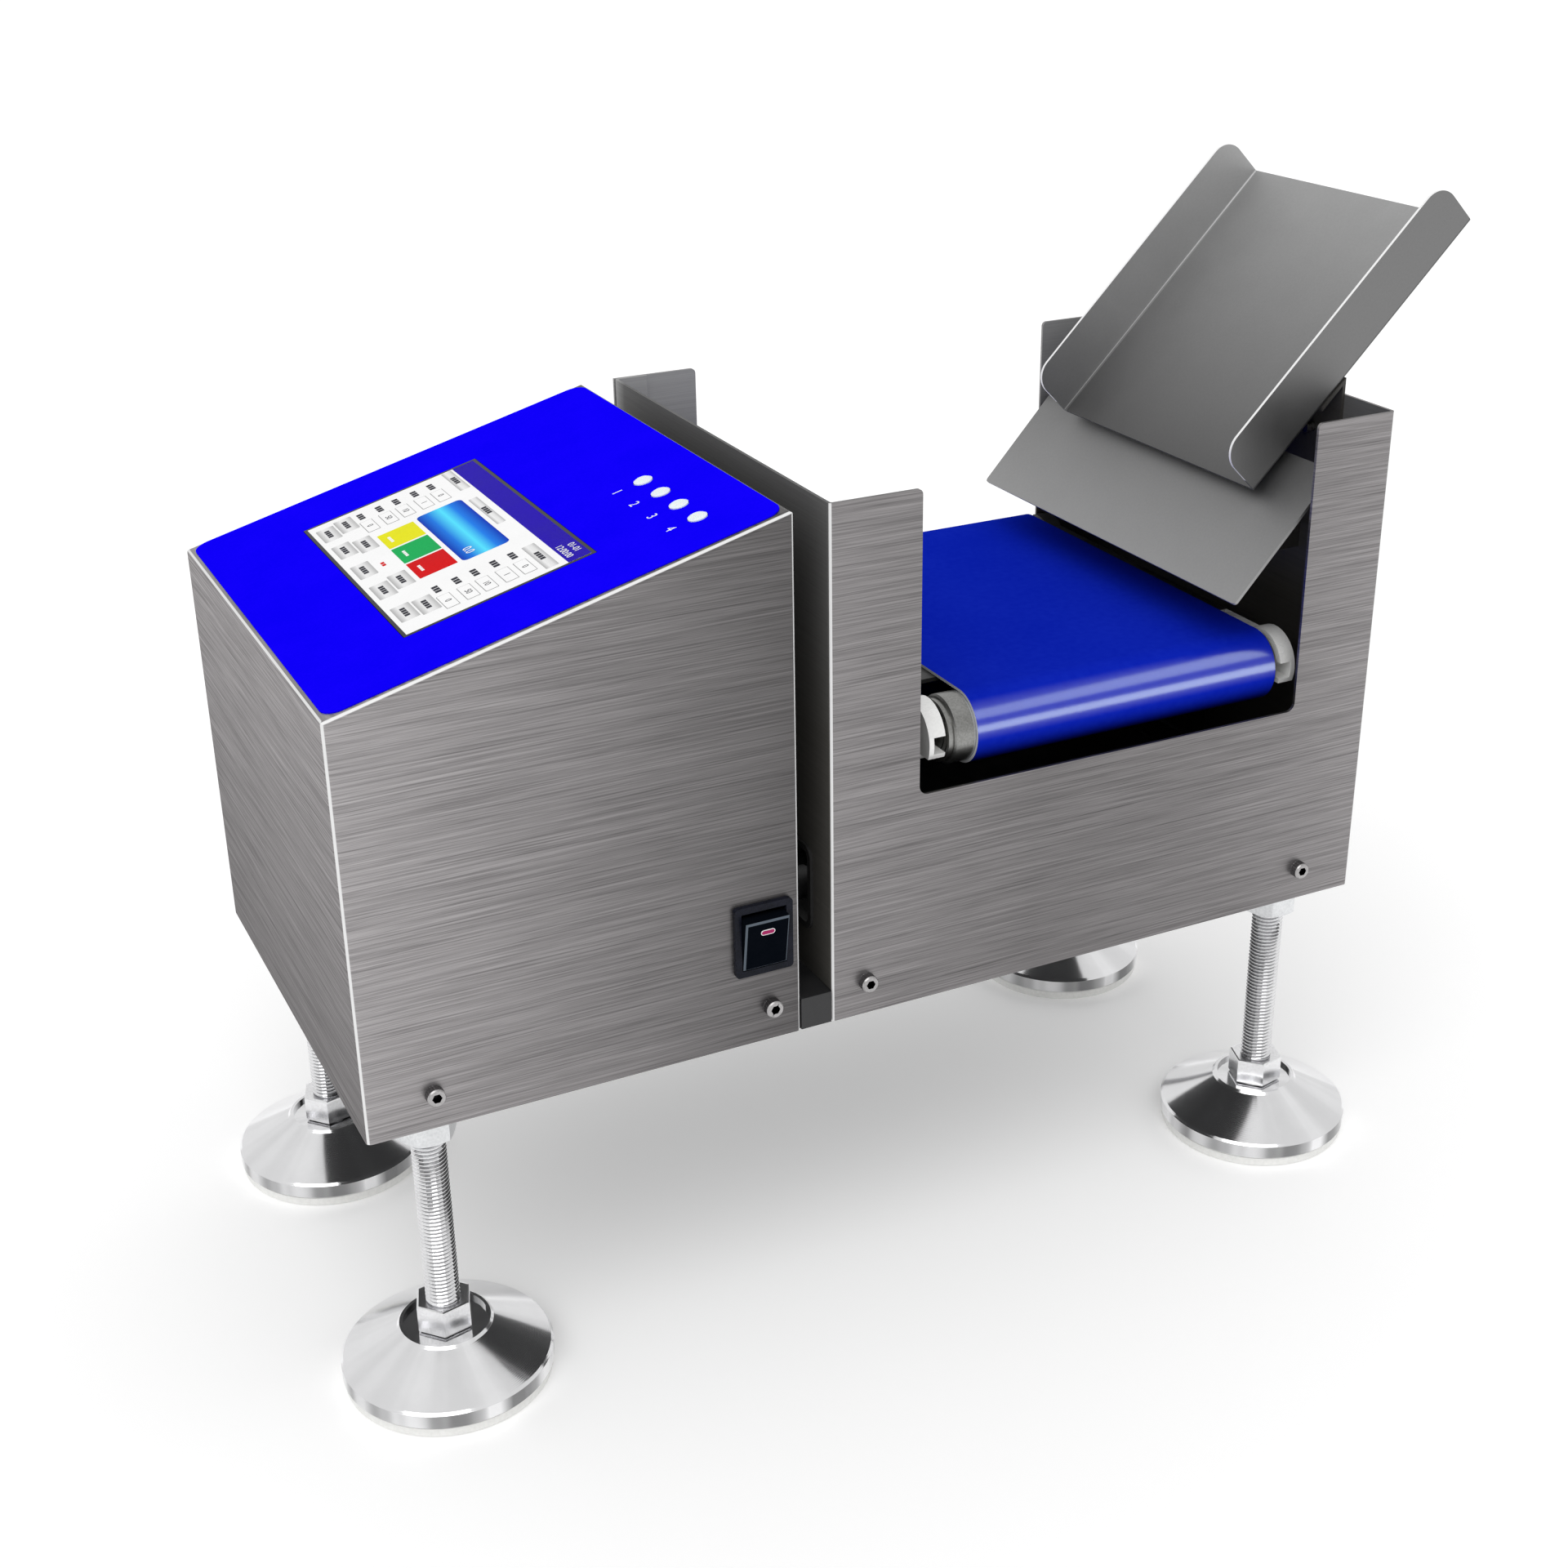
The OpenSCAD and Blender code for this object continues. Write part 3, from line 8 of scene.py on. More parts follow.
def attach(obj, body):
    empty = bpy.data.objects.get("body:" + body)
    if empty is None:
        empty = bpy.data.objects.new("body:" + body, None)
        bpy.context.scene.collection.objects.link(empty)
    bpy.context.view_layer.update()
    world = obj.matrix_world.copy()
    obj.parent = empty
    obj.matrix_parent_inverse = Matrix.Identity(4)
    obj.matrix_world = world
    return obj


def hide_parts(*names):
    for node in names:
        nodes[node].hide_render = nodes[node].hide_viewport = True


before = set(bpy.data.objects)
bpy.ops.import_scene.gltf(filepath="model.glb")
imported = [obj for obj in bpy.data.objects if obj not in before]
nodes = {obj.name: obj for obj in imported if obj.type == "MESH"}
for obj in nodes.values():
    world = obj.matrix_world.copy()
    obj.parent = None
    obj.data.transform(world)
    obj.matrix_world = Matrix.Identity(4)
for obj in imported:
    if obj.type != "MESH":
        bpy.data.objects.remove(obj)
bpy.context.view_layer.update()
print("frame loaded:", len(nodes), "nodes")

# the drawing's own zero: left face of the control box, front face, lower edge of the boxes
drawingZero = Vector((-285.7202, -120.0, 146.0))
toRow = Matrix.Scale(0.001, 4) @ Matrix.Translation(drawingZero)


def rowPoint(x, y, z):
    return toRow @ Vector((x, y, z))


# camera

cameraLook = {
    "place": (-0.46282, -0.90191, 0.67175),
    "yaw": 0.4484,
    "pitch": 0.4313,
    "roll": -0.0161,
    "focalPixels": 2681.44,
    "framePixels": 1920,
    "sensor": 36.0,
    "clip": (0.02, 200.0),
}


def placeCamera(look):
    yaw, pitch, roll = look["yaw"], look["pitch"], look["roll"]
    ahead = Vector((math.sin(yaw) * math.cos(pitch), math.cos(yaw) * math.cos(pitch), -math.sin(pitch)))
    side = Vector((math.cos(yaw), -math.sin(yaw), 0.0))
    over = side.cross(ahead)
    tilt = Matrix.Rotation(-roll, 3, ahead)
    side, over = tilt @ side, tilt @ over
    data = bpy.data.cameras.new("photoCamera")
    data.sensor_width = look["sensor"]
    data.lens = look["focalPixels"] / look["framePixels"] * look["sensor"]
    data.clip_start, data.clip_end = look["clip"]
    camera = bpy.data.objects.new("photoCamera", data)
    turn = Matrix((side, over, -ahead)).transposed()
    camera.matrix_world = Matrix.Translation(look["place"]) @ turn.to_4x4()
    bpy.context.scene.collection.objects.link(camera)
    bpy.context.scene.camera = camera


placeCamera(cameraLook)
print("camera placed")

# studio

studio = {
    "sky": 0.80,
    "floorColour": (0.95, 0.95, 0.95),
    "floorGlow": 0.12,
    "floorRough": 0.9,
    "floorRadius": 40.0,
    "keyAim": (-0.55, -0.75, 1.15),
    "keyStrength": 0.95,
    "keyAngle": 50.0,
    "stripColour": (0.87, 1.0, 0.76),
    "stripTarget": (0.1, -0.09, 0.27),
    "strips": {
        "highStrip": {"place": (1.05, -0.90, 1.27), "size": (2.4, 0.6), "power": 22.0},
        "lowStrip": {"place": (1.05, -1.39, 0.21), "size": (2.4, 0.6), "power": 40.0},
    },
}


def aimAt(obj, place, target):
    look = (Vector(target) - Vector(place)).normalized()
    obj.matrix_world = Matrix.Translation(place) @ look.to_track_quat("-Z", "Y").to_matrix().to_4x4()


def stripLamp(name, strip, lit):
    # a strip that only the belt sees, for the two streaks on its front turn
    data = bpy.data.lights.new(name, "AREA")
    data.shape = "RECTANGLE"
    data.size, data.size_y = strip["size"]
    data.energy = strip["power"]
    data.color = studio["stripColour"]
    lamp = bpy.data.objects.new(name, data)
    bpy.context.scene.collection.objects.link(lamp)
    aimAt(lamp, strip["place"], studio["stripTarget"])
    lamp.visible_camera = False
    lamp.visible_diffuse = False
    lamp.light_linking.receiver_collection = lit


def buildStudio():
    world = bpy.data.worlds.new("studioSky")
    bpy.context.scene.world = world
    world.use_nodes = True
    sky = world.node_tree.nodes["Background"]
    sky.inputs["Color"].default_value = (1.0, 1.0, 1.0, 1.0)
    # white behind the floor's edge, softer as a light
    seen = world.node_tree.nodes.new("ShaderNodeMapRange")
    seen.inputs["To Min"].default_value = studio["sky"]
    path = world.node_tree.nodes.new("ShaderNodeLightPath")
    world.node_tree.links.new(path.outputs["Is Camera Ray"], seen.inputs["Value"])
    world.node_tree.links.new(seen.outputs["Result"], sky.inputs["Strength"])
    data = bpy.data.lights.new("keySun", "SUN")
    data.energy = studio["keyStrength"]
    data.angle = math.radians(studio["keyAngle"])
    sun = bpy.data.objects.new("keySun", data)
    bpy.context.scene.collection.objects.link(sun)
    aimAt(sun, studio["keyAim"], (0.0, 0.0, 0.0))
    lit = bpy.data.collections.new("stripLit")
    lit.objects.link(nodes["belt"])
    for name, strip in studio["strips"].items():
        stripLamp(name, strip, lit)


def buildFloor():
    bm = bmesh.new()
    bmesh.ops.create_circle(bm, cap_ends=True, segments=64, radius=studio["floorRadius"])
    mesh = bpy.data.meshes.new("studioFloor")
    bm.to_mesh(mesh)
    bm.free()
    floor = bpy.data.objects.new("studioFloor", mesh)
    bpy.context.scene.collection.objects.link(floor)
    mat = bpy.data.materials.new("floorPaper")
    mat.use_nodes = True
    paper = mat.node_tree.nodes["Principled BSDF"]
    paper.inputs["Base Color"].default_value = (*studio["floorColour"], 1.0)
    paper.inputs["Roughness"].default_value = studio["floorRough"]
    paper.inputs["Emission Color"].default_value = (1.0, 1.0, 1.0, 1.0)
    paper.inputs["Emission Strength"].default_value = studio["floorGlow"]
    paper.inputs["Specular IOR Level"].default_value = 0.0
    mesh.materials.append(mat)


buildStudio()
buildFloor()
bpy.context.scene.view_settings.view_transform = "Standard"
print("studio built")

# shared finishes


def newGroup(name, inputs, outputs):
    group = bpy.data.node_groups.new(name, "ShaderNodeTree")
    for label, kind, value in inputs:
        group.interface.new_socket(name=label, in_out="INPUT", socket_type=kind).default_value = value
    for label, kind in outputs:
        group.interface.new_socket(name=label, in_out="OUTPUT", socket_type=kind)
    return group, group.nodes.new("NodeGroupInput"), group.nodes.new("NodeGroupOutput")


def addNode(tree, kind, **settings):
    node = tree.nodes.new(kind)
    for label, value in settings.items():
        setattr(node, label, value)
    return node


def feed(tree, socket, value):
    # an output is linked, a plain value is set
    if isinstance(value, bpy.types.NodeSocket):
        tree.links.new(value, socket)
    else:
        socket.default_value = (*value, 1.0)[:4] if socket.type == "RGBA" else value


def mathNode(tree, operation, first, second=None, clamp=False):
    node = addNode(tree, "ShaderNodeMath", operation=operation, use_clamp=clamp)
    feed(tree, node.inputs[0], first)
    if second is not None:
        feed(tree, node.inputs[1], second)
    return node.outputs[0]


def rangeNode(tree, value, low, high, fromLow=0.0, fromHigh=1.0, kind="LINEAR"):
    node = addNode(tree, "ShaderNodeMapRange", interpolation_type=kind)
    numbers = {"Value": value, "From Min": fromLow, "From Max": fromHigh, "To Min": low, "To Max": high}
    for label, number in numbers.items():
        feed(tree, node.inputs[label], number)
    return node.outputs["Result"]


def mixColour(tree, factor, first, second, blend="MIX"):
    node = addNode(tree, "ShaderNodeMix", data_type="RGBA", blend_type=blend)
    for index, value in ((0, factor), (6, first), (7, second)):
        feed(tree, node.inputs[index], value)
    return node.outputs[2]


def dimmed(tree, share, colour):
    return mixColour(tree, share, (0.0, 0.0, 0.0), colour)


def blendOf(tree, first, second, share):
    # a share of the first and the rest of the second
    kept = mathNode(tree, "MULTIPLY", first, share)
    return mathNode(tree, "ADD", kept, mathNode(tree, "MULTIPLY", second, 1.0 - share))


def noiseAt(tree, vector, scale, detail, rough=0.5):
    node = addNode(tree, "ShaderNodeTexNoise")
    for label, value in {"Vector": vector, "Scale": scale, "Detail": detail, "Roughness": rough}.items():
        feed(tree, node.inputs[label], value)
    return node.outputs["Fac"]


def stretched(tree, vector, scale):
    node = addNode(tree, "ShaderNodeVectorMath", operation="MULTIPLY")
    feed(tree, node.inputs[0], vector)
    feed(tree, node.inputs[1], scale)
    return node.outputs[0]


def coordsOf(tree, label):
    return addNode(tree, "ShaderNodeTexCoord").outputs[label]


def splitParts(tree, vector):
    node = addNode(tree, "ShaderNodeSeparateXYZ")
    feed(tree, node.inputs[0], vector)
    return node.outputs


def rampNode(tree, value, stops):
    node = addNode(tree, "ShaderNodeValToRGB")
    elements = node.color_ramp.elements
    while len(elements) < len(stops):
        elements.new(0.5)
    for element, (at, colour) in zip(elements, stops):
        element.position = at
        element.color = (*colour, 1.0)
    feed(tree, node.inputs["Fac"], value)
    return node.outputs["Color"]


finishOutputs = (("Color", "NodeSocketColor"), ("Roughness", "NodeSocketFloat"), ("Height", "NodeSocketFloat"))


def closeFinish(group, inside, out, colour, wear, height):
    rough = rangeNode(group, wear, inside.outputs["Smooth"], inside.outputs["Rough"], 0.3, 0.7)
    for label, value in {"Color": colour, "Roughness": rough, "Height": height}.items():
        feed(group, out.inputs[label], value)
    return group


def makeBrushed():
    group, inside, out = newGroup("brushedSheet", [
        ("Dark", "NodeSocketColor", (0.12, 0.11, 0.11, 1.0)),
        ("Light", "NodeSocketColor", (0.34, 0.32, 0.31, 1.0)),
        ("Stretch", "NodeSocketVector", (16.0, 16.0, 620.0)),
        ("Smooth", "NodeSocketFloat", 0.3),
        ("Rough", "NodeSocketFloat", 0.45),
    ], finishOutputs)
    along = stretched(group, coordsOf(group, "Object"), inside.outputs["Stretch"])
    fine = noiseAt(group, along, 1.0, 5.0, 0.7)
    broad = noiseAt(group, stretched(group, along, (0.6, 0.6, 0.3)), 1.0, 2.0)
    tone = rangeNode(group, blendOf(group, fine, broad, 0.85), 0.0, 1.0, 0.30, 0.70)
    colour = mixColour(group, tone, inside.outputs["Dark"], inside.outputs["Light"])
    return closeFinish(group, inside, out, colour, fine, fine)


def makeMottled():
    group, inside, out = newGroup("mottledFinish", [
        ("Colour", "NodeSocketColor", (0.2, 0.2, 0.2, 1.0)),
        ("Shade", "NodeSocketColor", (0.15, 0.15, 0.15, 1.0)),
        ("Grain", "NodeSocketFloat", 400.0),
        ("Smooth", "NodeSocketFloat", 0.3),
        ("Rough", "NodeSocketFloat", 0.5),
    ], finishOutputs)
    place = coordsOf(group, "Object")
    grain = noiseAt(group, place, inside.outputs["Grain"], 3.0)
    cloud = noiseAt(group, place, mathNode(group, "MULTIPLY", inside.outputs["Grain"], 0.06), 2.0)
    tone = rangeNode(group, blendOf(group, grain, cloud, 0.5), 0.0, 1.0, 0.36, 0.64)
    colour = mixColour(group, tone, inside.outputs["Shade"], inside.outputs["Colour"])
    return closeFinish(group, inside, out, colour, cloud, grain)


def makeBendMask():
    # one where a face turns from one flat to the next, zero on the flats and on the sloped panel; it places the painted
    # highlight on bends and bevels
    group, inside, out = newGroup("bendHighlightMask", [("Slope", "NodeSocketFloat", 0.28)], [("Mask", "NodeSocketFloat")])
    normal = splitParts(group, coordsOf(group, "Normal"))
    across, front, ends = (mathNode(group, "ABSOLUTE", mathNode(group, "MULTIPLY", normal[first], normal[second]))
                           for first, second in ((0, 1), (1, 2), (0, 2)))
    ends = mathNode(group, "MULTIPLY", mathNode(group, "SUBTRACT", ends, inside.outputs["Slope"], clamp=True), 2.4)
    most = mathNode(group, "MAXIMUM", mathNode(group, "MAXIMUM", across, front), ends)
    feed(group, out.inputs["Mask"], rangeNode(group, most, 0.0, 1.0, 0.39, 0.465, "SMOOTHSTEP"))
    return group


def makeInsideBox():
    group, inside, out = newGroup("insideBox", [
        ("Low", "NodeSocketVector", (0.0, 0.0, 0.0)),
        ("High", "NodeSocketVector", (0.0, 0.0, 0.0)),
    ], [("Mask", "NodeSocketFloat")])
    place = coordsOf(group, "Object")
    least = None
    for first, second in ((place, inside.outputs["Low"]), (inside.outputs["High"], place)):
        gap = addNode(group, "ShaderNodeVectorMath", operation="SUBTRACT")
        feed(group, gap.inputs[0], first)
        feed(group, gap.inputs[1], second)
        for part in splitParts(group, gap.outputs[0]):
            least = part if least is None else mathNode(group, "MINIMUM", least, part)
    feed(group, out.inputs["Mask"], mathNode(group, "GREATER_THAN", least, 0.0))
    return group


brushedSheet = makeBrushed()
mottledFinish = makeMottled()
bendHighlightMask = makeBendMask()
insideBox = makeInsideBox()
print("finish groups built")


def useGroup(tree, group, **values):
    node = addNode(tree, "ShaderNodeGroup", node_tree=group)
    for label, value in values.items():
        feed(tree, node.inputs[label], value)
    return node.outputs


def newMaterial(name, **settings):
    mat = bpy.data.materials.new(name)
    mat.use_nodes = True
    shader = mat.node_tree.nodes["Principled BSDF"]
    for label, value in settings.items():
        shader.inputs[label.replace("_", " ")].default_value = value
    return mat, mat.node_tree, shader


def bumpInto(tree, shader, height, strength, depth=0.0001):
    bump = addNode(tree, "ShaderNodeBump")
    for label, value in {"Strength": strength, "Distance": depth, "Height": height}.items():
        feed(tree, bump.inputs[label], value)
    feed(tree, shader.inputs["Normal"], bump.outputs["Normal"])


def mottledInto(tree, shader, colour, shade, grain, smooth, rough):
    finish = useGroup(tree, mottledFinish, Colour=colour, Shade=shade, Grain=grain, Smooth=smooth, Rough=rough)
    feed(tree, shader.inputs["Roughness"], finish["Roughness"])
    return finish["Color"], finish["Height"]


def mottledMaterial(name, colour, shade, grain, smooth, rough, bump=0.08, **settings):
    mat, tree, shader = newMaterial(name, **settings)
    mixed, height = mottledInto(tree, shader, colour, shade, grain, smooth, rough)
    feed(tree, shader.inputs["Base Color"], mixed)
    if bump:
        bumpInto(tree, shader, height, bump, depth=0.0002)
    return mat


def brushedMaterial(name, look, sheenStops, leftShade=None, low=None, high=None, lit=True, slope=0.28):
    # sheet steel: brush lines, a painted reflection that brightens and darkens along the machine, painted shade on the
    # left face, painted highlight on the bends, and painted shade darkening the region between two corners
    mat, tree, shader = newMaterial(name, Specular_IOR_Level=0.0)
    finish = useGroup(tree, brushedSheet, Dark=look["dark"], Light=look["light"], Stretch=look["stretch"],
                      Smooth=look["smooth"], Rough=look["rough"])
    spot = splitParts(tree, coordsOf(tree, "Object"))
    start, end = sheenStops[0][0], sheenStops[-1][0]
    along = rangeNode(tree, spot[0], 0.0, 1.0, *(rowPoint(x, 0.0, 0.0).x for x in (start, end)))
    # painted reflection: a ramp brightens and darkens the steel along the machine
    paintedSheen = rampNode(tree, along, [((x - start) / (end - start), (tone, tone, tone)) for x, tone in sheenStops])
    colour = mixColour(tree, 1.0, finish["Color"], paintedSheen, "MULTIPLY")
    shine = finish["Roughness"]
    metal = 1.0
    if leftShade:
        # the left end face, duller, with painted shade that is deepest towards its foot
        away = mathNode(tree, "LESS_THAN", splitParts(tree, coordsOf(tree, "Normal"))[0], look["endTurn"])
        metal = rangeNode(tree, away, metal, look["endMetal"])
        foot = rangeNode(tree, spot[2], *leftShade, *(rowPoint(0.0, 0.0, z).z for z in look["endRise"]))
        colour = dimmed(tree, mathNode(tree, "SUBTRACT", 1.0, mathNode(tree, "MULTIPLY", away, foot)), colour)
    # painted highlight: on the bends the colour is painted pale grey, with less metal
    if lit:
        bendHighlight = useGroup(tree, bendHighlightMask, Slope=slope)["Mask"]
        colour = mixColour(tree, bendHighlight, colour, look["edge"])
        shine = rangeNode(tree, bendHighlight, shine, look["edgeRough"])
        metal = rangeNode(tree, bendHighlight, metal, look["edgeMetal"])
    # painted shade: within the two corners the walls are painted dark, darkest low down, lighter near their tops and
    # brighter at the top of the rear flange
    if low:
        inner = useGroup(tree, insideBox, Low=tuple(rowPoint(*low)), High=tuple(rowPoint(*high)))["Mask"]
        rise = rangeNode(tree, spot[2], 0.0, 1.0, *(rowPoint(0.0, 0.0, z).z for z in look["insideShadeRise"]))
        deep = rangeNode(tree, spot[1], 0.0, 1.0, *(rowPoint(0.0, y, 0.0).y for y in look["rearFrom"]))
        shadedWall = mixColour(tree, rise, look["inside"], mixColour(tree, deep, look["insideLitTop"], look["rearLitTop"]))
        lines = mixColour(tree, 1.0, shadedWall, look["insideLines"], "MULTIPLY")
        colour = mixColour(tree, inner, colour, mixColour(tree, finish["Height"], shadedWall, lines))
        shine = rangeNode(tree, inner, shine, look["insideRough"])
        metal = rangeNode(tree, inner, metal, look["insideMetal"])
    for label, value in {"Metallic": metal, "Base Color": colour, "Roughness": shine}.items():
        feed(tree, shader.inputs[label], value)
    bumpInto(tree, shader, finish["Height"], look["bump"])
    return mat


def dress(mat, *names):
    for name in names:
        mesh = nodes[name].data
        for index in range(len(mesh.materials)):
            mesh.materials[index] = mat
        if not len(mesh.materials):
            mesh.materials.append(mat)


# steel sheet

steelLook = {
    "dark": (0.110, 0.105, 0.106),
    "light": (0.355, 0.340, 0.343),
    "stretch": (15.0, 15.0, 1500.0),
    # the painted highlight on the bends: its colour, metal and roughness
    "edge": (0.74, 0.74, 0.74),
    "edgeMetal": 0.2,
    "edgeRough": 0.4,
    # painted shade inside the guard, with painted light at the tops of its walls
    "inside": (0.12, 0.115, 0.105),
    "insideLitTop": (0.20, 0.20, 0.20),
    "insideLines": (0.6, 0.6, 0.6),
    "insideMetal": 0.4,
    "insideRough": 0.55,
    "insideShadeRise": (140.0, 255.0),
    "rearLitTop": (0.46, 0.46, 0.46),
    "rearFrom": (225.0, 236.0),
    "smooth": 0.34,
    "rough": 0.46,
    "bump": 0.04,
    # painted reflection along the housing: drawing x and its brightness factor
    "housingPaintedSheen": ((0.0, 1.48), (110.0, 0.94), (206.0, 0.51)),
    # painted shade on the left face, at its foot and at its top
    "housingLeftShade": (0.49, 0.16),
    "endTurn": -0.7,
    "endMetal": 0.1,
    "endRise": (0.0, 195.0),
    # low and high corner of what lies behind the front panel, and of the rear panel's front; painted shade darkens all
    # within them, the left wall's face toward the gap too
    "guardShadedInside": ((221.0, 1.4, -5.0), (520.6, 260.0, 260.0)),
    "backShadedInside": ((200.0, 200.0, -5.0), (540.0, 239.2, 260.0)),
    # painted reflection along the guard: drawing x and its brightness factor
    "guardPaintedSheen": ((222.0, 1.08), (330.0, 0.79), (430.0, 0.88), (522.0, 1.16)),
}


def dressSteel(look):
    sheenStops = look["guardPaintedSheen"]
    dress(brushedMaterial("housingSteel", look, look["housingPaintedSheen"], look["housingLeftShade"]), "control_housing")
    dress(brushedMaterial("guardSteel", look, sheenStops, None, *look["guardShadedInside"], slope=1.0), "guard_shell")
    dress(brushedMaterial("guardBackSteel", look, sheenStops, None, *look["backShadedInside"], lit=False), "guard_back")


dressSteel(steelLook)

chuteLook = {
    "dark": (0.42, 0.42, 0.42),
    "light": (0.45, 0.45, 0.45),
    "satin": (900.0, 0.52, 0.57),     # grain, smooth, rough
    "bump": 0.05,
    # painted highlight on the cut edges of the flanges
    "edge": (0.92, 0.92, 0.92),
    "edgeMetal": 0.3,
    "slope": 45.0,
    "length": 166.0,
    "width": 169.0,
    "lowEnd": (470.0, 35.5, 210.0),
    "edgeFrom": 0.007,
    "edgeTurn": 0.5,
    "foldTurn": (0.1, 0.985),
    # painted shade and light: darker at the low end, darker on the near flange, lighter on the far flange, darker folds
    "lowShade": 0.34,
    "nearShade": 0.53,
    "farLight": 1.75,
    "foldShade": 0.6,
    "sheet": 1.6,
    # painted shade on the deflector: lighter at its left end, darker towards its right
    "deflectorSpan": (440.0, 520.0),
    "deflectorShades": (0.87, 0.31),
}


def satinInto(tree, shader, look):
    colour, height = mottledInto(tree, shader, look["light"], look["dark"], *look["satin"])
    bumpInto(tree, shader, height, look["bump"])
    return colour


def dressChute(look):
    # satin sheet; the cut edges of the flanges carry a painted highlight, near-white and less metallic
    mat, tree, shader = newMaterial("chuteSteel")
    satin = satinInto(tree, shader, look)
    local = addNode(tree, "ShaderNodeMapping", vector_type="TEXTURE")
    local.inputs["Location"].default_value = rowPoint(*look["lowEnd"])
    local.inputs["Rotation"].default_value = (0.0, -math.radians(look["slope"]), 0.0)
    feed(tree, local.inputs["Vector"], coordsOf(tree, "Object"))
    spot = splitParts(tree, local.outputs[0])
    turned = mathNode(tree, "ABSOLUTE", splitParts(tree, coordsOf(tree, "Normal"))[1])
    raised = mathNode(tree, "GREATER_THAN", spot[2], look["edgeFrom"])
    edge = mathNode(tree, "MULTIPLY", raised, mathNode(tree, "LESS_THAN", turned, look["edgeTurn"]))
    # painted shade: darker down the slope and on the near flange, painted light on the far flange
    paintedShading = rangeNode(tree, spot[0], look["lowShade"], 1.0, 0.0, look["length"] / 1000)
    near = mathNode(tree, "LESS_THAN", spot[1], look["sheet"] / 2000)
    paintedShading = rangeNode(tree, near, paintedShading, look["nearShade"])
    far = mathNode(tree, "GREATER_THAN", spot[1], (look["width"] - 2 * look["sheet"]) / 1000)
    paintedShading = mathNode(tree, "MULTIPLY", paintedShading, rangeNode(tree, far, 1.0, look["farLight"]))
    # the two folds catch the key, so painted shade tones them down
    begun, done = look["foldTurn"]
    fold = mathNode(tree, "MULTIPLY", mathNode(tree, "GREATER_THAN", turned, begun),
                    mathNode(tree, "LESS_THAN", turned, done))
    paintedShading = mathNode(tree, "MULTIPLY", paintedShading, rangeNode(tree, fold, 1.0, look["foldShade"]))
    # the flange edges get the painted highlight, over the painted shading of the sheet
    feed(tree, shader.inputs["Base Color"], mixColour(tree, edge, dimmed(tree, paintedShading, satin), look["edge"]))
    feed(tree, shader.inputs["Metallic"], rangeNode(tree, edge, 1.0, look["edgeMetal"]))
    dress(mat, "chute_channel")
    plate, tree, shader = newMaterial("deflectorSteel", Metallic=1.0)
    satin = satinInto(tree, shader, look)
    # painted shade: the deflector darkens from its left end towards its right
    along = splitParts(tree, coordsOf(tree, "Object"))[0]
    span = (rowPoint(x, 0.0, 0.0).x for x in look["deflectorSpan"])
    paintedShading = rangeNode(tree, along, *look["deflectorShades"], *span)
    feed(tree, shader.inputs["Base Color"], dimmed(tree, paintedShading, satin))
    dress(plate, "deflector_plate")


dressChute(chuteLook)

# pieces of one plain finish: colour, shade, grain, smooth, rough, bump, metal, then their nodes

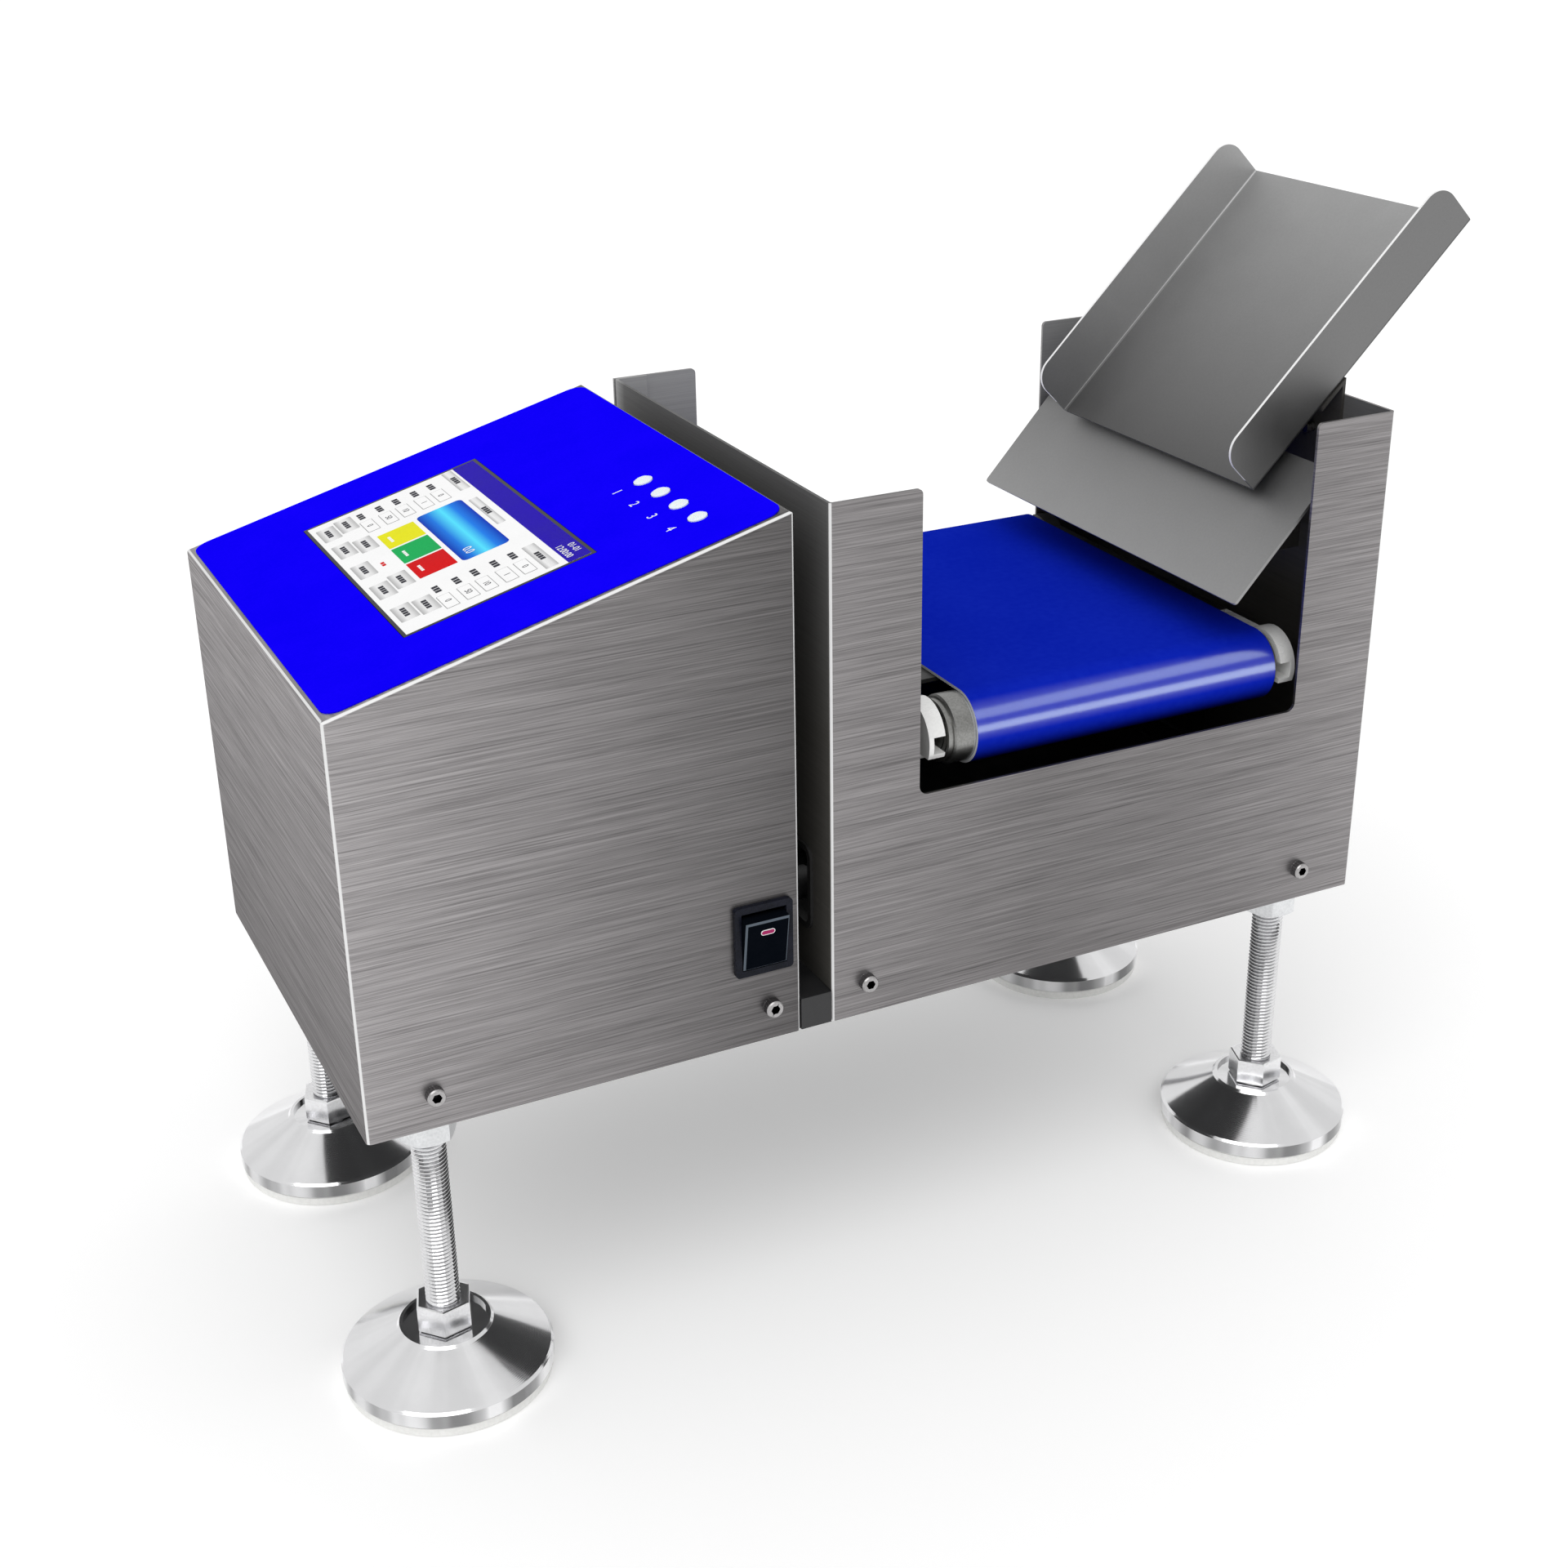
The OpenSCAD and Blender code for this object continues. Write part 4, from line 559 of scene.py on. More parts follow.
plainFinishes = {
    "chuteBracketPaint": ((0.050, 0.048, 0.044), (0.036, 0.034, 0.031), 700.0, 0.5, 0.65, 0.08, 0.0,
                          "chute_bracket", "deflector_gussets"),
    "trayPaint": ((0.016, 0.016, 0.017), (0.011, 0.011, 0.012), 1400.0, 0.45, 0.6, 0.12, 0.0, "base_tray"),
    "bridgePaint": ((0.020, 0.020, 0.021), (0.014, 0.014, 0.015), 1400.0, 0.4, 0.55, 0.12, 0.0, "gap_bridge"),
    # painted shade: the carrier parts under the belt are painted near-black
    "carrierShadeBlack": ((0.016, 0.016, 0.016), (0.010, 0.010, 0.010), 900.0, 0.4, 0.6, 0.06, 0.0,
                     "weigh_bracket", "slider_bed", "cross_ties"),
    "plateBlack": ((0.014, 0.014, 0.014), (0.009, 0.009, 0.009), 1200.0, 0.35, 0.55, 0.1, 0.0,
                   "side_plate_left", "side_plate_right"),
    "cellAluminium": ((0.60, 0.61, 0.62), (0.50, 0.51, 0.52), 900.0, 0.32, 0.48, 0.05, 1.0, "load_cell"),
    "zincSteel": ((0.50, 0.50, 0.46), (0.38, 0.38, 0.35), 1100.0, 0.3, 0.5, 0.05, 1.0, "cell_spacers",
                  "overload_stops", "stud_bosses", "screen_clamps", "drum_shaft", "idler_shaft"),
    "motorDark": ((0.05, 0.05, 0.055), (0.03, 0.03, 0.034), 900.0, 0.4, 0.6, 0.08, 0.6,
                  "drum_motor", "motor_driver"),
    "supplyAluminium": ((0.55, 0.56, 0.57), (0.44, 0.45, 0.46), 800.0, 0.35, 0.5, 0.05, 1.0, "power_supply"),
    "boardGreen": ((0.012, 0.09, 0.035), (0.008, 0.06, 0.024), 700.0, 0.35, 0.5, 0.05, 0.0,
                   "controller_board", "lamp_board"),
    "casePlastic": ((0.03, 0.03, 0.032), (0.02, 0.02, 0.022), 1500.0, 0.45, 0.6, 0.12, 0.0, "screen_case"),
    "inletPlastic": ((0.016, 0.016, 0.017), (0.011, 0.011, 0.012), 1600.0, 0.4, 0.55, 0.12, 0.0, "power_inlet"),
    "trimRubber": ((0.014, 0.014, 0.014), (0.008, 0.008, 0.008), 900.0, 0.6, 0.8, 0.15, 0.0, "port_trims"),
    "conduitPlastic": ((0.02, 0.02, 0.021), (0.013, 0.013, 0.014), 900.0, 0.4, 0.55, 0.1, 0.0, "cable_conduit"),
    "screwSteel": ((0.46, 0.45, 0.45), (0.32, 0.31, 0.31), 900.0, 0.2, 0.36, 0.05, 1.0,
                   "cover_screws", "conveyor_screws", "chute_screws"),
    "nutChrome": ((0.80, 0.81, 0.82), (0.62, 0.63, 0.64), 700.0, 0.08, 0.2, 0.03, 1.0, "lock_nuts"),
    "drumEndSteel": ((0.34, 0.34, 0.33), (0.22, 0.22, 0.21), 1100.0, 0.25, 0.4, 0.06, 1.0, "drum_ends"),
    "holderSteel": ((0.90, 0.90, 0.89), (0.80, 0.80, 0.79), 900.0, 0.18, 0.3, 0.04, 0.25, "drum_holders"),
    "tailHolderBlack": ((0.030, 0.030, 0.031), (0.020, 0.020, 0.021), 900.0, 0.35, 0.5, 0.06, 0.0, "tail_holders"),
    "rollerAluminium": ((0.56, 0.57, 0.58), (0.44, 0.45, 0.46), 900.0, 0.25, 0.4, 0.05, 1.0,
                        "drum_shell", "idler_tube", "idler_bearings"),
}

for name, row in plainFinishes.items():
    finish, metal, pieces = row[:6], row[6], row[7:]
    dress(mottledMaterial(name, *finish, Metallic=metal), *pieces)
print("plain pieces dressed")

# belt

beltLook = {
    "colour": (0.005, 0.019, 0.43),
    "shade": (0.003, 0.014, 0.40),
    # painted shade on the belt's underside
    "underShade": (0.001, 0.002, 0.045),
    "edge": (0.52, 0.53, 0.54),
    "polished": ((28.0, 44.0), (82.0, 98.0)),
    "under": (92.0, 150.0),
    "grain": (260.0, 0.22, 0.28),     # grain, smooth, rough
    "bump": 0.03,
    "edgeTurn": 0.9,
}


def dressBelt(look):
    mat, tree, shader = newMaterial("beltBlue", Specular_IOR_Level=0.0, Coat_Roughness=0.2)
    blue, height = mottledInto(tree, shader, look["colour"], look["shade"], *look["grain"])
    facing = splitParts(tree, coordsOf(tree, "Normal"))
    cutEdge = mathNode(tree, "GREATER_THAN", mathNode(tree, "ABSOLUTE", facing[0]), look["edgeTurn"])
    # degrees from straight up, on the round of a roller
    turned = mathNode(tree, "DEGREES", mathNode(tree, "ARCCOSINE", facing[2]))
    # painted shade: the belt turns navy where it faces down round the rollers
    under = rangeNode(tree, turned, 0.0, 1.0, *look["under"], "SMOOTHSTEP")
    colour = mixColour(tree, cutEdge, mixColour(tree, under, blue, look["underShade"]), look["edge"])
    feed(tree, shader.inputs["Base Color"], colour)
    # stretched smooth where it turns about the rollers
    first, last = look["polished"]
    rising = rangeNode(tree, turned, 0.0, 1.0, *first, "SMOOTHSTEP")
    falling = rangeNode(tree, turned, 1.0, 0.0, *last, "SMOOTHSTEP")
    feed(tree, shader.inputs["Coat Weight"], mathNode(tree, "MULTIPLY", rising, falling))
    bumpInto(tree, shader, height, look["bump"])
    dress(mat, "belt")


dressBelt(beltLook)
print("belt dressed")

# feet

feetLook = {
    "corners": {
        "front_left": (32.0, 22.0), "front_right": (490.0, 22.0),
        "rear_left": (32.0, 218.0), "rear_right": (490.0, 218.0),
    },
    "baseTop": -119.0,       # floor of the hub, below the boxes' lower edge
    "studTop": 25.0,
    "spigot": (6.0, 10.0),
    "neck": (10.0, 0.5),
    "hexAcross": 24.0,
    "hexHeight": 14.0,
    "hexSoft": 0.9,
    "hexTurn": 42.0,
    "sink": 1.0,             # how far one form runs into the next
    "threadSink": 4.0,
    "pitch": 2.0,
    "crest": 7.98,
    "root": 6.95,
    "profile": (("root", 0.0), ("crest", 0.4), ("crest", 0.55), ("root", 0.95), ("root", 1.0)),
    "turnSteps": 20,
    "grooveTurn": -0.2,
    "floor": -146.0,
    "chrome": ((0.84, 0.84, 0.85), (0.97, 0.97, 0.98)),
    "cloudScale": 60.0,
    "ringScale": 420.0,
    "ringWander": 0.6,
    "ringRough": (0.08, 0.17),
    "ringBump": 0.03,
    # painted reflection: dark sectors round each cone
    "sectorScale": 1.9,
    "sectorFrom": (0.38, 0.58),
    "paintedReflectionTones": (0.88, 0.28),
    "rimLean": 0.3,
}


def finishObject(bm, name, mats, body):
    mesh = bpy.data.meshes.new(name)
    bm.to_mesh(mesh)
    bm.free()
    for mat in mats:
        mesh.materials.append(mat)
    obj = bpy.data.objects.new(name, mesh)
    bpy.context.scene.collection.objects.link(obj)
    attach(obj, body)
    return obj


def addRod(bm, radius, low, high, segments=48):
    place = Matrix.Translation((0.0, 0.0, (low + high) / 2))
    made = bmesh.ops.create_cone(bm, cap_ends=True, segments=segments, radius1=radius, radius2=radius,
                                 depth=high - low, matrix=place)
    return made["verts"]


def addThread(bm, look, low, high):
    pitch, steps = look["pitch"], look["turnSteps"]
    turns = int((high - low) / pitch) - 1
    verts = [bm.verts.new((look[radius], 0.0, low + rise * pitch)) for radius, rise in look["profile"]]
    edges = [bm.edges.new(pair) for pair in zip(verts, verts[1:])]
    bmesh.ops.spin(bm, geom=verts + edges, cent=(0, 0, 0), axis=(0, 0, 1), dvec=(0, 0, pitch / steps),
                   angle=2 * math.pi * turns, steps=steps * turns, use_merge=False)
    bmesh.ops.remove_doubles(bm, verts=bm.verts[:], dist=0.002)
    bmesh.ops.holes_fill(bm, edges=[edge for edge in bm.edges if edge.is_boundary], sides=0)


def buildStud(look, corner, mat, flankShade):
    bm = bmesh.new()
    base, sink = look["baseTop"], look["sink"]
    hexLow = base + look["neck"][1]
    hexHigh = hexLow + look["hexHeight"]
    addThread(bm, look, hexHigh - look["threadSink"], look["studTop"] - sink)
    bmesh.ops.recalc_face_normals(bm, faces=bm.faces[:])
    # the flanks that look down get painted shade: a darker chrome
    for part in bm.faces:
        part.material_index = int(part.normal.z < look["grooveTurn"])
    addRod(bm, look["spigot"][0], base - look["spigot"][1], base + sink)
    addRod(bm, look["neck"][0], base, hexLow + sink)
    hexVerts = addRod(bm, look["hexAcross"] / 2 / math.cos(math.pi / 6), hexLow, hexHigh, segments=6)
    rims = {edge for vert in hexVerts for edge in vert.link_edges
            if abs(edge.verts[0].co.z - edge.verts[1].co.z) < 0.01}
    turn = Matrix.Rotation(math.radians(look["hexTurn"]), 3, "Z")
    bmesh.ops.rotate(bm, verts=hexVerts, cent=(0, 0, 0), matrix=turn)
    bmesh.ops.bevel(bm, geom=list(rims), offset=look["hexSoft"], affect="EDGES", segments=2, profile=0.5, material=-1)
    x, y = look["corners"][corner]
    bmesh.ops.transform(bm, matrix=toRow @ Matrix.Translation((x, y, 0.0)), verts=bm.verts[:])
    stud = finishObject(bm, "threadedStud_" + corner, [mat, flankShade], "foot_" + corner)
    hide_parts("stud_" + corner)
    for polygon in stud.data.polygons:
        polygon.use_smooth = False


def footChrome(look, corner):
    # turned and polished: faint rings about the foot's own axis
    mat, tree, shader = newMaterial("footChrome_" + corner, Metallic=1.0)
    centred = addNode(tree, "ShaderNodeMapping", vector_type="TEXTURE")
    centred.inputs["Location"].default_value = rowPoint(*look["corners"][corner], look["floor"])
    feed(tree, centred.inputs["Vector"], coordsOf(tree, "Object"))
    about = centred.outputs[0]
    rings = addNode(tree, "ShaderNodeTexWave", wave_type="RINGS", rings_direction="Z")
    for label, value in {"Scale": look["ringScale"], "Distortion": look["ringWander"], "Vector": about}.items():
        feed(tree, rings.inputs[label], value)
    colour = mixColour(tree, noiseAt(tree, about, look["cloudScale"], 3.0), *look["chrome"])
    # painted reflection: soft dark sectors round the cone, deeper on the upright rim
    spoke = addNode(tree, "ShaderNodeVectorMath", operation="NORMALIZE")
    feed(tree, spoke.inputs[0], stretched(tree, about, (1.0, 1.0, 0.0)))
    reflectionSector = noiseAt(tree, spoke.outputs[0], look["sectorScale"], 2.0)
    lean = mathNode(tree, "ABSOLUTE", splitParts(tree, coordsOf(tree, "Normal"))[2])
    deepest = rangeNode(tree, mathNode(tree, "LESS_THAN", lean, look["rimLean"]), *look["paintedReflectionTones"])
    shade = rangeNode(tree, reflectionSector, deepest, 1.0, *look["sectorFrom"])
    feed(tree, shader.inputs["Base Color"], dimmed(tree, shade, colour))
    feed(tree, shader.inputs["Roughness"], rangeNode(tree, rings.outputs["Fac"], *look["ringRough"]))
    bumpInto(tree, shader, rings.outputs["Fac"], look["ringBump"])
    return mat


def buildFeet(look):
    chrome = mottledMaterial("studChrome", (0.95, 0.95, 0.96), (0.80, 0.80, 0.81), 900.0, 0.14, 0.26, 0.03,
                             Metallic=1.0)
    # painted shade for the thread's downward flanks
    flankShade = mottledMaterial("studFlankShade", (0.36, 0.36, 0.37), (0.24, 0.24, 0.25), 900.0, 0.2, 0.34, 0.03,
                             Metallic=1.0)
    sole = mottledMaterial("solePlastic", (0.82, 0.82, 0.80), (0.72, 0.72, 0.70), 500.0, 0.35, 0.5, 0.08)
    for corner in look["corners"]:
        buildStud(look, corner, chrome, flankShade)
        dress(footChrome(look, corner), "foot_" + corner)
        dress(sole, "sole_" + corner)
        dress(chrome, "stud_" + corner)


buildFeet(feetLook)
print("feet built")

# cover screws: knurled heads; painted shade makes the knurled sides and the sockets darker copies of the head's steel

screwLook = {
    "places": [(x, y, 17.0, 1.0) for x in (31.0, 191.0, 240.0, 488.0) for y in (0.0, 240.0)]
    + [(x, 240.0, z, 0.8) for x in (231.5, 512.5) for z in (40.0, 230.0)],
    "middle": 100.0,         # nearer ones point to the front, the others to the back
    "segments": 48,
    "knurl": 0.16,
    "socket": 2.0,
    "socketFloor": 2.0,
    # radius and height of each ring of an M5 screw, from the shank's end over the head
    "rings": ((2.5, -7.5), (2.5, 0.0), (4.25, 0.0), (4.25, 0.3), (4.25, 3.7), (4.2, 3.9), (3.7, 4.5)),
    "knurled": (3, 4),
}


def buildScrews(look):
    # painted shade: darker copies of the head's steel for the sides and the sockets
    side = mottledMaterial("screwSideShade", (0.20, 0.195, 0.20), (0.10, 0.098, 0.10), 1500.0, 0.2, 0.34, 0.05,
                           Metallic=1.0)
    socket = mottledMaterial("screwSocketShade", (0.020, 0.020, 0.022), (0.010, 0.010, 0.011), 1500.0, 0.2, 0.3, 0.03,
                             Metallic=1.0)
    count = look["segments"]
    # the hexagon of the socket, as one radius for each step
    corners = [look["socket"] / math.cos(math.radians(step * 360.0 / count % 60.0 - 30.0)) for step in range(count)]
    bm = bmesh.new()
    for x, y, z, size in look["places"]:
        turn = math.pi / 2 if y < look["middle"] else -math.pi / 2
        place = toRow @ Matrix.Translation((x, y, z)) @ Matrix.Rotation(turn, 4, "X")
        rings = [[radius - (look["knurl"] if index in look["knurled"] and step % 2 else 0.0) for step in range(count)]
                 for index, (radius, level) in enumerate(look["rings"])] + [corners, corners]
        levels = [level for radius, level in look["rings"]] + [look["rings"][-1][1], look["socketFloor"]]
        last = None
        for index, (radii, level) in enumerate(zip(rings, levels)):
            capped = index in (0, len(rings) - 1)
            made = bmesh.ops.create_circle(bm, cap_ends=capped, segments=count, radius=1.0)["verts"]
            for step, vert in enumerate(made):
                angle = step * 2 * math.pi / count
                vert.co = (radii[step] * math.cos(angle), radii[step] * math.sin(angle), level)
            loop = {edge for vert in made for edge in vert.link_edges}
            if index == len(rings) - 1:
                for part in made[0].link_faces:
                    part.material_index = 2
            bmesh.ops.transform(bm, matrix=place @ Matrix.Scale(size, 4), verts=made)
            if last:
                for part in bmesh.ops.bridge_loops(bm, edges=list(last | loop))["faces"]:
                    part.material_index = 2 if index == len(rings) - 1 else int(index <= look["knurled"][1])
            last = loop
    bmesh.ops.recalc_face_normals(bm, faces=bm.faces[:])
    mats = [bpy.data.materials["screwSteel"], side, socket]
    screws = finishObject(bm, "socketScrews", mats, "machine")
    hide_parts("cover_screws")


buildScrews(screwLook)
print("screws built")

# panel: film, lamps, screen

panelSlope = {"low": 195.0, "high": 250.0, "run": 206.0}
slopeAngle = math.atan((panelSlope["high"] - panelSlope["low"]) / panelSlope["run"])
slopeFrame = toRow @ Matrix.Translation((0.0, 0.0, panelSlope["low"])) @ Matrix.Rotation(-slopeAngle, 4, "Y")
acrossSlope = Matrix.Rotation(-math.pi / 2, 4, "Z")

panelLook = {
    "film": (0.006, 0.0005, 0.93),
    "filmShade": (0.004, 0.0003, 0.88),
    "lamp": (0.93, 0.93, 0.93),
    "glass": (0.008, 0.008, 0.012),
    "lampFirst": 31.8,
    "lampPitch": 19.8,
    "numberSize": 7.0,
    "numberAlong": 169.0,
    "top": 0.5,
    "numberLift": 0.05,
}


def addNumber(text, size, place, mat, name, body="machine"):
    # flat digits, made a mesh and set on a frame
    curve = bpy.data.curves.new(name, "FONT")
    curve.body = text
    curve.size = size
    curve.align_x, curve.align_y = "CENTER", "CENTER"
    curve.extrude = 0.02
    holder = bpy.data.objects.new(name, curve)
    bpy.context.scene.collection.objects.link(holder)
    bpy.context.view_layer.update()
    mesh = bpy.data.meshes.new_from_object(holder)
    bpy.data.objects.remove(holder)
    mesh.transform(place)
    mesh.materials.clear()
    mesh.materials.append(mat)
    obj = bpy.data.objects.new(name, mesh)
    bpy.context.scene.collection.objects.link(obj)
    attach(obj, body)
    return obj


def dressPanel(look):
    film = mottledMaterial("filmBlue", look["film"], look["filmShade"], 700.0, 0.45, 0.6, 0.03, Specular_IOR_Level=0.0)
    dress(film, "panel_film")
    glass = mottledMaterial("screenGlass", look["glass"], (0.006, 0.006, 0.009), 300.0, 0.08, 0.14, 0.0,
                            Specular_IOR_Level=0.2)
    dress(glass, "touch_screen")
    lens = mottledMaterial("lampWhite", look["lamp"], (0.86, 0.86, 0.86), 500.0, 0.2, 0.35, 0.03, Subsurface_Weight=0.2)
    dress(lens, "lamp_lenses")
    ink = mottledMaterial("whiteInk", (0.88, 0.88, 0.88), (0.80, 0.80, 0.80), 900.0, 0.5, 0.6, 0.0)
    # reading direction runs from the back to the front, seen from the operator's end
    for index in range(4):
        y = look["lampFirst"] + index * look["lampPitch"]
        spot = (look["numberAlong"], y, look["top"] + look["numberLift"])
        place = slopeFrame @ Matrix.Translation(spot) @ acrossSlope
        addNumber(str(4 - index), look["numberSize"], place, ink, "lampNumber_%d" % (4 - index))


dressPanel(panelLook)

displayLook = {
    "width": 154.7,
    "height": 85.5,
    "corner": (51.0, 197.35),     # low edge along the slope, back edge
    "layer": 0.06,
    "title": (0.873, 1.0),
    "reading": (0.255, 0.70, 0.495, 0.76),
    "blocks": (("yellow", 0.27, 0.40), ("green", 0.41, 0.545), ("red", 0.555, 0.69)),
    "blockSpan": (0.26, 0.47),
    "lowButtons": (0.10, 0.27, 0.47, 0.66, 0.86),
    "highButtons": (0.085, 0.29, 0.64, 0.87),
    "buttonSize": (0.115, 0.10),
    "heads": ((0.10, 0.83, 0.19, 0.06), (0.42, 0.81, 0.26, 0.05), (0.88, 0.80, 0.20, 0.07)),
    "fieldRows": (0.70, 0.60, 0.49, 0.39, 0.28),
    "fieldLeft": 0.165,
    "fieldRight": 0.905,
    "fieldSize": (0.10, 0.072),
}


def flatInk(name, colour, shade):
    return mottledMaterial(name, colour, shade, 900.0, 0.35, 0.45, 0.0, Specular_IOR_Level=0.02)


def rampInk(name, stops):
    # colour runs across each tile, from its low edge to its high edge
    mat, tree, shader = newMaterial(name, Roughness=0.4, Specular_IOR_Level=0.02)
    spread = addNode(tree, "ShaderNodeUVMap", uv_map="tile")
    up = splitParts(tree, spread.outputs["UV"])[1]
    feed(tree, shader.inputs["Base Color"], rampNode(tree, up, stops))
    return mat


def buildDisplay(look):
    wide, high = look["width"], look["height"]
    # x runs from the back to the front, y up the slope, z out of the glass
    face = slopeFrame @ Matrix.Translation((*look["corner"], panelLook["top"])) @ acrossSlope
    inks = {
        "white": flatInk("displayWhite", (0.92, 0.92, 0.92), (0.89, 0.89, 0.89)),
        "title": flatInk("displayTitle", (0.020, 0.004, 0.42), (0.016, 0.003, 0.36)),
        "reading": rampInk("displayReading", (
            (0.0, (0.0, 0.03, 0.42)), (0.22, (0.01, 0.18, 0.72)), (0.5, (0.09, 0.72, 0.95)),
            (0.74, (0.01, 0.20, 0.78)), (1.0, (0.0, 0.03, 0.45)))),
        "yellow": flatInk("displayYellow", (0.80, 0.78, 0.01), (0.74, 0.72, 0.01)),
        "green": flatInk("displayGreen", (0.01, 0.42, 0.10), (0.008, 0.37, 0.09)),
        "red": flatInk("displayRed", (0.66, 0.004, 0.006), (0.58, 0.003, 0.005)),
        "button": rampInk("displayButton", (
            (0.0, (0.42, 0.42, 0.42)), (0.35, (0.82, 0.82, 0.82)), (0.7, (0.74, 0.74, 0.74)),
            (1.0, (0.46, 0.46, 0.46)))),
        "line": flatInk("displayLine", (0.34, 0.34, 0.34), (0.28, 0.28, 0.28)),
        "ink": flatInk("displayInk", (0.05, 0.05, 0.06), (0.03, 0.03, 0.04)),
    }
    kinds = list(inks)
    bm = bmesh.new()
    uvs = bm.loops.layers.uv.new("tile")

    def tile(x0, x1, y0, y1, level, kind, soft=0.0):
        # a thin plate in shares of the display, with its own spread of the tile map
        x0, x1, y0, y1 = x0 * wide, x1 * wide, y0 * high, y1 * high
        place = Matrix.Translation(((x0 + x1) / 2, (y0 + y1) / 2, level * look["layer"]))
        size = Matrix.Diagonal(((x1 - x0) / 2, (y1 - y0) / 2, 1.0, 1.0))
        made = bmesh.ops.create_grid(bm, x_segments=1, y_segments=1, size=1.0, matrix=place @ size)
        verts = made["verts"]
        if soft:
            verts = bmesh.ops.bevel(bm, geom=verts, offset=soft, affect="VERTICES", segments=5, profile=0.5,
                                    material=-1)["verts"]
        faces = {part for vert in verts for part in vert.link_faces}
        for part in faces:
            part.material_index = kinds.index(kind)
        raised = bmesh.ops.extrude_face_region(bm, geom=list(faces))
        top = [item for item in raised["geom"] if isinstance(item, bmesh.types.BMVert)]
        bmesh.ops.translate(bm, verts=top, vec=(0.0, 0.0, look["layer"] * 0.7))
        for vert in top + list(verts):
            for loop in vert.link_loops:
                loop[uvs].uv = ((vert.co.x - x0) / (x1 - x0), (vert.co.y - y0) / (y1 - y0))

    def marks(x, y, count, level, kind="ink", size=(0.013, 0.028)):
        # a short row of small blocks where a caption would stand
        for index in range(count):
            left = x + (index - count / 2) * size[0] * 1.25
            tile(left, left + size[0], y - size[1] / 2, y + size[1] / 2, level, kind)

    tile(0.0, 1.0, 0.0, 1.0, 0, "white")
    tile(0.0, 1.0, *look["title"], 1, "title")
    tile(*look["reading"], 1, "reading", 2.6)
    for kind, left, right in look["blocks"]:
        tile(left, right, *look["blockSpan"], 1, kind, 0.4)
        marks((left + right) / 2, look["blockSpan"][0] + 0.045, 4, 2, "white", (0.010, 0.016))
    bw, bh = look["buttonSize"]
    for row, spots in ((0.075, look["lowButtons"]), (0.185, look["highButtons"])):
        for x in spots:
            tile(x - bw / 2, x + bw / 2, row - bh / 2, row + bh / 2, 1, "button", 0.5)
            marks(x, row, 4, 2)
    marks(0.485, 0.175, 2, 1, "red", (0.014, 0.02))
    for x, y, w, h in look["heads"]:
        tile(x - w / 2, x + w / 2, y - h / 2, y + h / 2, 1, "button", 0.5)
        marks(x, y, 4, 2)
    fw, fh = look["fieldSize"]
    for column, step in ((look["fieldLeft"], -0.095), (look["fieldRight"], -0.10)):
        for y in look["fieldRows"]:
            tile(column - fw / 2, column + fw / 2, y - fh / 2, y + fh / 2, 1, "line", 0.4)
            edge = 0.3
            tile(column - fw / 2 + edge / wide, column + fw / 2 - edge / wide,
                 y - fh / 2 + edge / high, y + fh / 2 - edge / high, 2, "white", 0.3)
            marks(column + step, y, 3, 1, "ink", (0.014, 0.034))
    bmesh.ops.recalc_face_normals(bm, faces=bm.faces[:])
    bmesh.ops.transform(bm, matrix=face, verts=bm.verts[:])
    finishObject(bm, "displayPicture", list(inks.values()), "machine")
    ink, white = inks["ink"], inks["white"]

    def number(text, x, y, size, mat, label):
        place = face @ Matrix.Translation((x * wide, y * high, look["layer"] * 3.2))
        addNumber(text, size, place, mat, label)

    for column, side in ((look["fieldLeft"], "back"), (look["fieldRight"], "front")):
        for index, y in enumerate(look["fieldRows"]):
            number(("0", "1", "10", "50", "0")[index], column, y, 4.2, ink, "displayValue_%s_%d" % (side, index))
    number("0.0", 0.64, 0.56, 6.0, white, "displayReadingValue")
    number("12:00:00", 0.92, 0.905, 4.6, white, "displayClock")
    number("01-01", 0.92, 0.962, 4.6, white, "displayDate")


buildDisplay(displayLook)
print("panel and display built")

# rocker switch

rockerLook = {
    "centre": (187.0, 0.0, 54.0),
    "pivot": 4.0,
    "face": 9.3,
    "tilt": 9.0,
    "lensUp": 6.9,
    "lens": (6.4, 2.2),
    "ring": 0.25,
    "overlap": 0.03,
    "proud": 0.3,
    "grain": (1500.0, 0.16, 0.26),     # grain, smooth, rough
    "plastic": (0.0035, 0.0045, 0.007),
    "shade": (0.002, 0.003, 0.005),
    # painted highlight on the paddle's bevels
    "bevel": (0.10, 0.12, 0.145),
    "frame": (0.010, 0.011, 0.020),
    "red": (0.36, 0.010, 0.11),
}


